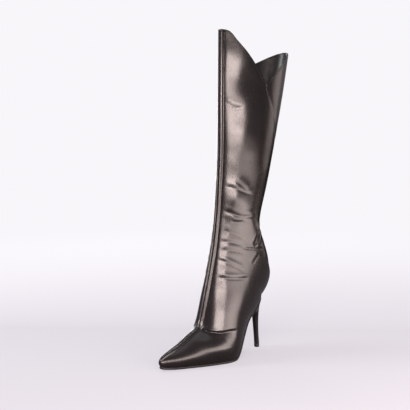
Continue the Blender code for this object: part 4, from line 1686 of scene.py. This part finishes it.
@dataclass
class Heel:
    """The covered stiletto heel and its tip."""

    last: Last
    half_width: float = 22.5 * MM
    tip_half: float = 4.4 * MM
    tip_height: float = 6.0 * MM
    front: float = -0.150
    top: float = 0.97
    bulge: float = 0.55
    back_points: int = 49
    face_points: int = 21
    rings: int = 70

    ROWS = (
        (-0.1000, 0.715, 0.820, 0.920, 0.660, 0.50),
        (-0.0540, 0.660, 0.600, 0.840, 0.420, 0.80),
        (-0.0400, 0.585, 0.460, 0.745, 0.320, 0.95),
        (-0.0365, 0.500, 0.400, 0.620, 0.265, 1.00),
        (-0.0325, 0.390, 0.440, 0.460, 0.225, 1.00),
        (-0.0265, 0.230, 0.620, 0.250, 0.197, 1.00),
    )

    TIP = ((1.0, 0.90), (0.97, 0.97), (0.9, 1.0), (0.12, 1.0), (0.04, 0.975), (0.0, 0.93))

    def _tip_outline(self) -> Array:
        """The tip seen from above."""
        return self._outline(-self.tip_half, self.tip_half, self.tip_half, 1.0)

    def _outline(self, front: float, back: float, width: float, oval: float) -> Array:
        """A ring seen from above: its back follows the seat or an oval, its breast bulges forward.

        Args:
            front: y of its corners' front.
            back: y of its back.
            width: its half width.
            oval: 0 where it follows the seat, 1 for an oval.

        Returns:
            Its points.
        """
        last = self.last
        seat_front = self.front * last.toe_reach
        breast = float(last.half_width(seat_front, Side.OUTER))
        depth = self.bulge * oval * width
        corner = front + depth
        angle = np.linspace(0.0, pi, self.back_points)
        share = np.sin(angle)
        seat_y = seat_front + share * (last.seat_reach - seat_front)
        half = np.where(
            angle < pi / 2, last.half_width(seat_y, Side.OUTER), -last.half_width(seat_y, Side.INNER)
        )
        seat_x = half / breast
        seat_x[0], seat_x[-1] = 1.0, -1.0
        back_arc = np.stack(
            [width * (oval * np.cos(angle) + (1 - oval) * seat_x), corner + share * (back - corner)], axis=1
        )
        across = -1 + 2 * np.arange(1, self.face_points) / self.face_points
        face = np.stack([width * across, corner - depth * (1 - across**2)], axis=1)
        return np.concatenate([back_arc, face])

    def _rings(self) -> Array:
        """The heel's rings from the seat to the tip, smoothed between the table's rows.

        Returns:
            Rings by points by 3.
        """
        last = self.last
        width = self.top * float(last.half_width(self.front * last.toe_reach, Side.OUTER))
        seat = self._outline(self.front * last.toe_reach, last.seat_reach, width, 0.0)
        height, rate = last.seat(seat[:, 1])
        lower = (last.seat_outsole + last.gap) / np.hypot(1.0, rate)
        rings = [np.stack([seat[:, 0], seat[:, 1] + rate * lower, height - lower], axis=1)]
        for front_y, front_z, back_y, back_z, share, oval in self.ROWS:
            front, back = front_y * last.toe_reach, back_y * last.seat_reach
            ring = self._outline(front, back, share * self.half_width, oval)
            along_y = (ring[:, 1] - front) / (back - front)
            z = (front_z + along_y * (back_z - front_z)) * last.seat_height
            rings.append(np.concatenate([ring, z[:, None]], axis=1))
        tip = self._tip_outline()
        rings.append(np.concatenate([tip, np.full((len(tip), 1), self.tip_height + last.gap)], axis=1))
        knots = np.array(rings)
        at = np.concatenate([[0.0], np.cumsum(np.linalg.norm(np.diff(knots, axis=0), axis=2).mean(axis=1))])
        return spline(at, knots, np.linspace(0.0, at[-1], self.rings))

    def build(self, cover: Material, tip: Material) -> None:
        """Make and dress the heel and its tip.

        Args:
            cover: the heel's finish.
            tip: the tip's finish.
        """
        rings = self._rings()
        inset = rings[-1] + (rings[-1].mean(axis=0) - rings[-1]) * 0.06 - np.array([0.0, 0.0, 0.2 * MM])
        heel = tube_of_rings("heel_cover", np.concatenate([rings, inset[None]]))
        dress(heel, cover, "heel_cover", BODY, "heel")
        outline = self._tip_outline()
        loops = []
        for level, share in self.TIP:
            z = np.full((len(outline), 1), level * self.tip_height)
            loops.append(np.concatenate([outline * share, z], axis=1))
        piece = tube_of_rings("heel_tip_block", np.array(loops))
        dress(piece, tip, "tip", BODY, "heel_tip")
        log.info("heel: %d faces", len(heel.data.polygons) + len(piece.data.polygons))


# ---- Zip and stitches


def capsules(
    name: str, centres: Array, axes: Array, outs: Array, size: Sequence[float]
) -> Object:
    """Many small rounded bars in one mesh.

    Args:
        name: the object's name.
        centres: their middles.
        axes: unit vectors along them.
        outs: unit vectors out of the leather.
        size: half length, half width and half height.

    Returns:
        The object.
    """
    rings, around = 5, 8
    turn = np.linspace(-pi / 2, pi / 2, rings)
    local = []
    for t in turn:
        fat = max(cos(t), 0.30) if abs(t) > 1.5 else cos(t) ** 0.5
        for r in np.linspace(0.0, 2 * pi, around, endpoint=False):
            local.append((sin(t) * size[0], fat * cos(r) * size[1], fat * sin(r) * size[2]))
    local = np.array(local)
    side = np.cross(outs, axes)
    points = (
        centres[:, None]
        + axes[:, None] * local[None, :, :1]
        + side[:, None] * local[None, :, 1:2]
        + outs[:, None] * local[None, :, 2:]
    )
    faces: list[list[int]] = []
    per = len(local)
    for k in range(len(centres)):
        start = k * per
        for ring in range(rings - 1):
            for i in range(around):
                j = (i + 1) % around
                a, b = start + ring * around, start + (ring + 1) * around
                faces.append([a + i, a + j, b + j, b + i])
        faces.append([start + i for i in range(around)][::-1])
        faces.append([start + (rings - 1) * around + i for i in range(around)])
    return mesh_of(name, points.reshape(-1, 3), faces, weld=0.0)


@dataclass
class Zip:
    """The inner zip: tape, teeth, slider, pull and the stitches beside it."""

    upper: Upper
    tape_half: float = 12.0 * MM
    tape_depth: float = 2.05 * MM
    tape_thick: float = 0.6 * MM
    pitch: float = 1.5 * MM
    stitch_pitch: float = 3.2 * MM
    stitch_gap: float = 5.2 * MM
    stitch_fall: float = 5.0 * MM
    tape_fall: float = 2.0 * MM
    teeth_depth: float = 1.15 * MM
    teeth_fall: float = 14.0 * MM
    teeth_shift: float = 0.55
    tooth: Triple = (1.2 * MM, 0.34 * MM, 0.5 * MM)
    metal_bevel: float = 0.16 * MM
    flat_angle: float = radians(2)
    edge_angle: float = radians(40)
    shade_angle: float = radians(35)

    def _line(self, offset: float, depth: float, fall: float = 0.0) -> tuple[Array, Array]:
        """Points and normals along the zip, a distance to the front of it and below the skin.

        Args:
            offset: the distance to the front.
            depth: the distance below the skin.
            fall: how far below the topline the line ends.

        Returns:
            Points and unit normals.
        """
        upper = self.upper
        points, outs = [], []
        cells = upper.slit_cells
        for row in range(upper.slit_row, len(upper.grid)):
            reach = upper.reach[row]
            here = 0.5 * (reach[cells.start] + reach[cells.stop]) + offset
            points.append(lookup(here, reach, upper.grid[row]))
            outs.append(lookup(here, reach, upper.out[row]))
        points, outs = np.array(points), unit(np.array(outs))
        high = points[:, 2].max() - fall
        good = points[:, 2] <= high
        return points[good] - outs[good] * depth, outs[good]

    def _tape(self, finish: Material) -> None:
        """The woven tape behind the slit.

        Args:
            finish: its finish.
        """
        offsets = np.linspace(-self.tape_half, self.tape_half, 13)
        faces = []
        for depth in (self.tape_depth, self.tape_depth + self.tape_thick):
            lines = [self._line(float(offset), depth, self.tape_fall)[0] for offset in offsets]
            count = min(len(line) for line in lines)
            faces.append(np.stack([line[:count] for line in lines], axis=1))
        piece = tube_of_rings("zip_tape_woven", np.concatenate([faces[0], faces[1][:, ::-1]], axis=1))
        dress(piece, finish, "zip_tape", BODY, "zip_tape")

    def _teeth(self, finish: Material) -> None:
        """Teeth in two meshed rows.

        Args:
            finish: their finish.
        """
        points, outs = self._line(0.0, self.teeth_depth, self.teeth_fall)
        reach = lengths(points)
        at = np.arange(self.pitch, reach[-1], self.pitch / 2)
        centres = along(points, at)
        normals = unit(along(outs, np.interp(at, reach, lengths(outs))))
        run = unit(np.gradient(centres, axis=0))
        side = unit(np.cross(normals, run))
        outs_flat = unit(np.cross(run, side))
        shift = np.where(np.arange(len(at)) % 2 == 0, self.teeth_shift, -self.teeth_shift)[:, None] * MM
        piece = capsules("zip_teeth_row", centres + side * shift, side, outs_flat, self.tooth)
        dress(piece, finish, "zip_metal", BODY, "zip_teeth")

    def _metal(self, node: str, body: str, finish: Material) -> None:
        """The slider or the pull, with its edges rounded.

        Args:
            node: its CAD node.
            body: the body it rides on.
            finish: its finish.
        """
        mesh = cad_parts[node].data.copy()
        thing = into_scene(node + "_metal", mesh)
        work = bmesh.new()
        work.from_mesh(mesh)
        bmesh.ops.remove_doubles(work, verts=work.verts, dist=1e-6)
        bmesh.ops.dissolve_limit(work, angle_limit=self.flat_angle, verts=work.verts, edges=work.edges)
        sharp = [edge for edge in work.edges if edge.calc_face_angle(0.0) > self.edge_angle]
        bmesh.ops.bevel(
            work, geom=sharp, offset=self.metal_bevel, segments=2, profile=0.5, affect="EDGES", clamp_overlap=True
        )
        work.to_mesh(mesh)
        work.free()
        mesh.shade_smooth()
        mesh.set_sharp_from_angle(angle=self.shade_angle)
        dress(thing, finish, "zip_metal", body, node)

    def _stitches(self, finish: Material) -> None:
        """A row of stitches on each side of the slit.

        Args:
            finish: the thread's finish.
        """
        for name, offset in (("zip_stitches_front", self.stitch_gap), ("zip_stitches_back", -self.stitch_gap)):
            points, outs = self._line(offset, -0.05 * MM, self.stitch_fall)
            row_of_stitches(name, points, outs, self.stitch_pitch, finish)

    def build(self, tape: Material, metal: Material, thread: Material) -> None:
        """Make and dress the zip.

        Args:
            tape: the tape's finish.
            metal: the teeth's, slider's and pull's finish.
            thread: the stitches' finish.
        """
        self._tape(tape)
        self._teeth(metal)
        self._metal("zip_slider", BODY, metal)
        self._metal("zip_pull", PULL_BODY, metal)
        self._stitches(thread)
        log.info("zip: tape, teeth, slider, pull and stitches")


def row_of_stitches(
    name: str, points: Array, outs: Array, pitch: float, finish: Material
) -> Object:
    """A row of stitches along a line on the leather.

    Args:
        name: its name.
        points: the line.
        outs: the way out of the leather at its points.
        pitch: from stitch to stitch.
        finish: the thread's finish.

    Returns:
        The piece.
    """
    reach = lengths(points)
    at = np.arange(pitch / 2, reach[-1], pitch)
    centres = along(points, at)
    normals = unit(lookup(at, reach, outs))
    run = unit(np.gradient(centres, axis=0))
    flat = unit(np.cross(np.cross(run, normals), run))
    piece = capsules(name, centres, run, flat, (0.36 * pitch, 0.24 * MM, 0.2 * MM))
    return dress(piece, finish, "upper_leather", BODY)


# ---- Studio


@dataclass
class Studio:
    """Pale floor, soft lights, world and camera."""

    lens: float = 60.157
    eye: Triple = (0.8127, -0.8179, 0.3138)
    yaw: float = -0.856692
    pitch: float = 0.062265
    roll: float = -0.009738
    floor_tint: Triple = (0.22, 0.217, 0.235)
    floor_glow: Triple = (0.50, 0.482, 0.515)
    floor_far: Triple = (0.82, 0.80, 0.83)
    backdrop: Triple = (0.935, 0.92, 0.95)
    room: Triple = (0.99, 0.90, 0.97)
    room_glow: float = 0.3
    fade: tuple[float, float] = (0.5, 2.2)
    rise: tuple[float, float] = (0.12, 2.0)
    rise_power: float = 0.35
    middle: Triple = (0.0, -0.06, 0.0)
    sensor: float = 36.0
    clip: float = 0.05
    floor_half: float = 40.0
    warm: Triple = (1.0, 0.835, 0.79)

    def floor(self) -> None:
        """A large plain floor, bright to the eye as an overlit paper sweep is, and dimmer in reflections."""
        size = self.floor_half
        points = [(-size, -size, 0.0), (size, -size, 0.0), (size, size, 0.0), (-size, size, 0.0)]
        floor = mesh_of("floor", np.array(points), [[0, 1, 2, 3]], weld=0.0)
        shader = Shader("pale floor")
        away = shader.node("ShaderNodeVectorMath", {"operation": "LENGTH"}, "Value", Vector=shader.place())
        fade = away.ramp(*self.fade)
        shader.feed(
            Base_Color=shader.blend(fade, self.floor_tint, (0.0, 0.0, 0.0)),
            Roughness=0.9,
            Specular_IOR_Level=0.0,
        )
        behind = (shader.axis("Y") - shader.axis("X")) * sin(pi / 4)
        tint = shader.blend(behind.ramp(*self.rise) ** self.rise_power, self.floor_glow, self.floor_far)
        glow = shader.node("ShaderNodeEmission", Color=shader.blend(fade, tint, self.backdrop), Strength=1.0)
        paper = Wire(shader.tree, shader.principled.outputs[0])
        shader.by_ray(paper, shader.node("ShaderNodeAddShader", numbered={0: paper, 1: glow}))
        floor.data.materials.append(shader.material)

    def world(self) -> None:
        """White behind the boot, and a dimmer room for its reflections."""
        world = bpy.data.worlds.new("studio")
        world.use_nodes = True
        bpy.context.scene.world = world
        nodes = Nodes(world.node_tree)
        dim = nodes.tree.nodes["Background"]
        for key, value in (("Color", (*self.room, 1.0)), ("Strength", self.room_glow)):
            connect(nodes.tree, value, dim.inputs[key])
        white = nodes.node("ShaderNodeBackground", Color=(*self.backdrop, 1.0), Strength=1.0)
        nodes.by_ray(Wire(nodes.tree, dim.outputs[0]), white)

    def light(
        self,
        name: str,
        azimuth: float,
        height: float,
        distance: float,
        size: Sequence[float],
        glow: float,
        tint: Sequence[float] = (1.0, 1.0, 1.0),
        roll: float = 0.0,
        aim: float | None = None,
        spread: float = 180.0,
    ) -> None:
        """A soft box.

        Args:
            name: its name.
            azimuth: degrees from the toe's direction towards the outer side.
            height: of its middle above the floor.
            distance: from the boot's middle.
            size: its width and height.
            glow: its radiance.
            tint: its colour.
            roll: degrees that it is turned about its own axis.
            aim: height that it looks at, its own where None.
            spread: degrees over which it shines.
        """
        angle = radians(azimuth)
        middle = Vector(self.middle)
        place = middle + Vector((sin(angle) * distance, -cos(angle) * distance, height))
        data = bpy.data.lights.new(name, "AREA")
        data.shape = "RECTANGLE"
        data.size, data.size_y = size
        data.energy = glow * pi * size[0] * size[1]
        data.color = tint
        data.spread = radians(spread)
        lamp = into_scene(name, data)
        lamp.location = place
        target = middle + Vector((0.0, 0.0, height if aim is None else aim))
        facing = (target - place).to_track_quat("-Z", "Y")
        lamp.rotation_euler = (facing @ Quaternion((0.0, 0.0, 1.0), radians(roll))).to_euler()

    def lights(self) -> None:
        """Six soft boxes, set for the photograph's angle."""
        warm = self.warm
        self.light("window", 41.5, 0.58, 1.5, (1.16, 0.20), 38.0, warm, roll=-3.0)
        self.light("left_box", -42.0, 1.35, 1.6, (0.7, 0.7), 12.0, aim=0.1)
        self.light("low_box", 97.0, 0.13, 0.6, (1.0, 0.25), 4.3, warm, roll=-11.0, spread=120.0)
        self.light("left_strip", -112.0, 0.65, 2.6, (0.8, 2.0), 4.5, (1.0, 0.98, 1.0))
        self.light("right_soft", 163.0, 0.5, 2.6, (1.1, 1.6), 1.7, warm)
        self.light("sky", -150.0, 3.3, 0.8, (3.0, 3.0), 0.8, (0.98, 0.98, 1.0), aim=0.0)

    def camera(self) -> None:
        """The camera at the photograph's place and angle."""
        ahead = Vector((sin(self.yaw) * cos(self.pitch), cos(self.yaw) * cos(self.pitch), -sin(self.pitch)))
        right = Vector((cos(self.yaw), -sin(self.yaw), 0.0))
        up = right.cross(ahead)
        c, s = cos(self.roll), sin(self.roll)
        right, up = c * right + s * up, c * up - s * right
        data = bpy.data.cameras.new("camera")
        data.sensor_width = self.sensor
        data.lens = self.lens
        data.clip_start = self.clip
        camera = into_scene("camera", data)
        turn = Matrix((right, up, -ahead)).transposed().to_4x4()
        camera.matrix_world = Matrix.Translation(Vector(self.eye)) @ turn
        bpy.context.scene.camera = camera

    def build(self) -> None:
        """Set the stage."""
        bpy.context.scene.view_settings.view_transform = "Standard"
        self.floor()
        self.world()
        self.lights()
        self.camera()
        log.info("studio: floor, six lights and camera")


def main() -> None:
    """Build every piece in order."""
    logging.basicConfig(level=logging.INFO, format="%(name)s: %(message)s")
    last = Last()
    leather = Leather().build()
    lining = Lining().build()
    upper = Upper(last)
    upper.build(leather, lining)
    thread = Thread().build()
    Zip(upper).build(Tape().build(), Enamel().build(), thread)
    Bottom(last).build(SoleFinish().build(), lining)
    cover = Leather("heel leather", gloss=0.30, dull=0.42, seams=False).build()
    Heel(last).build(cover, SoleFinish("tip rubber").build())
    Studio().build()


if __name__ == "__main__":
    main()
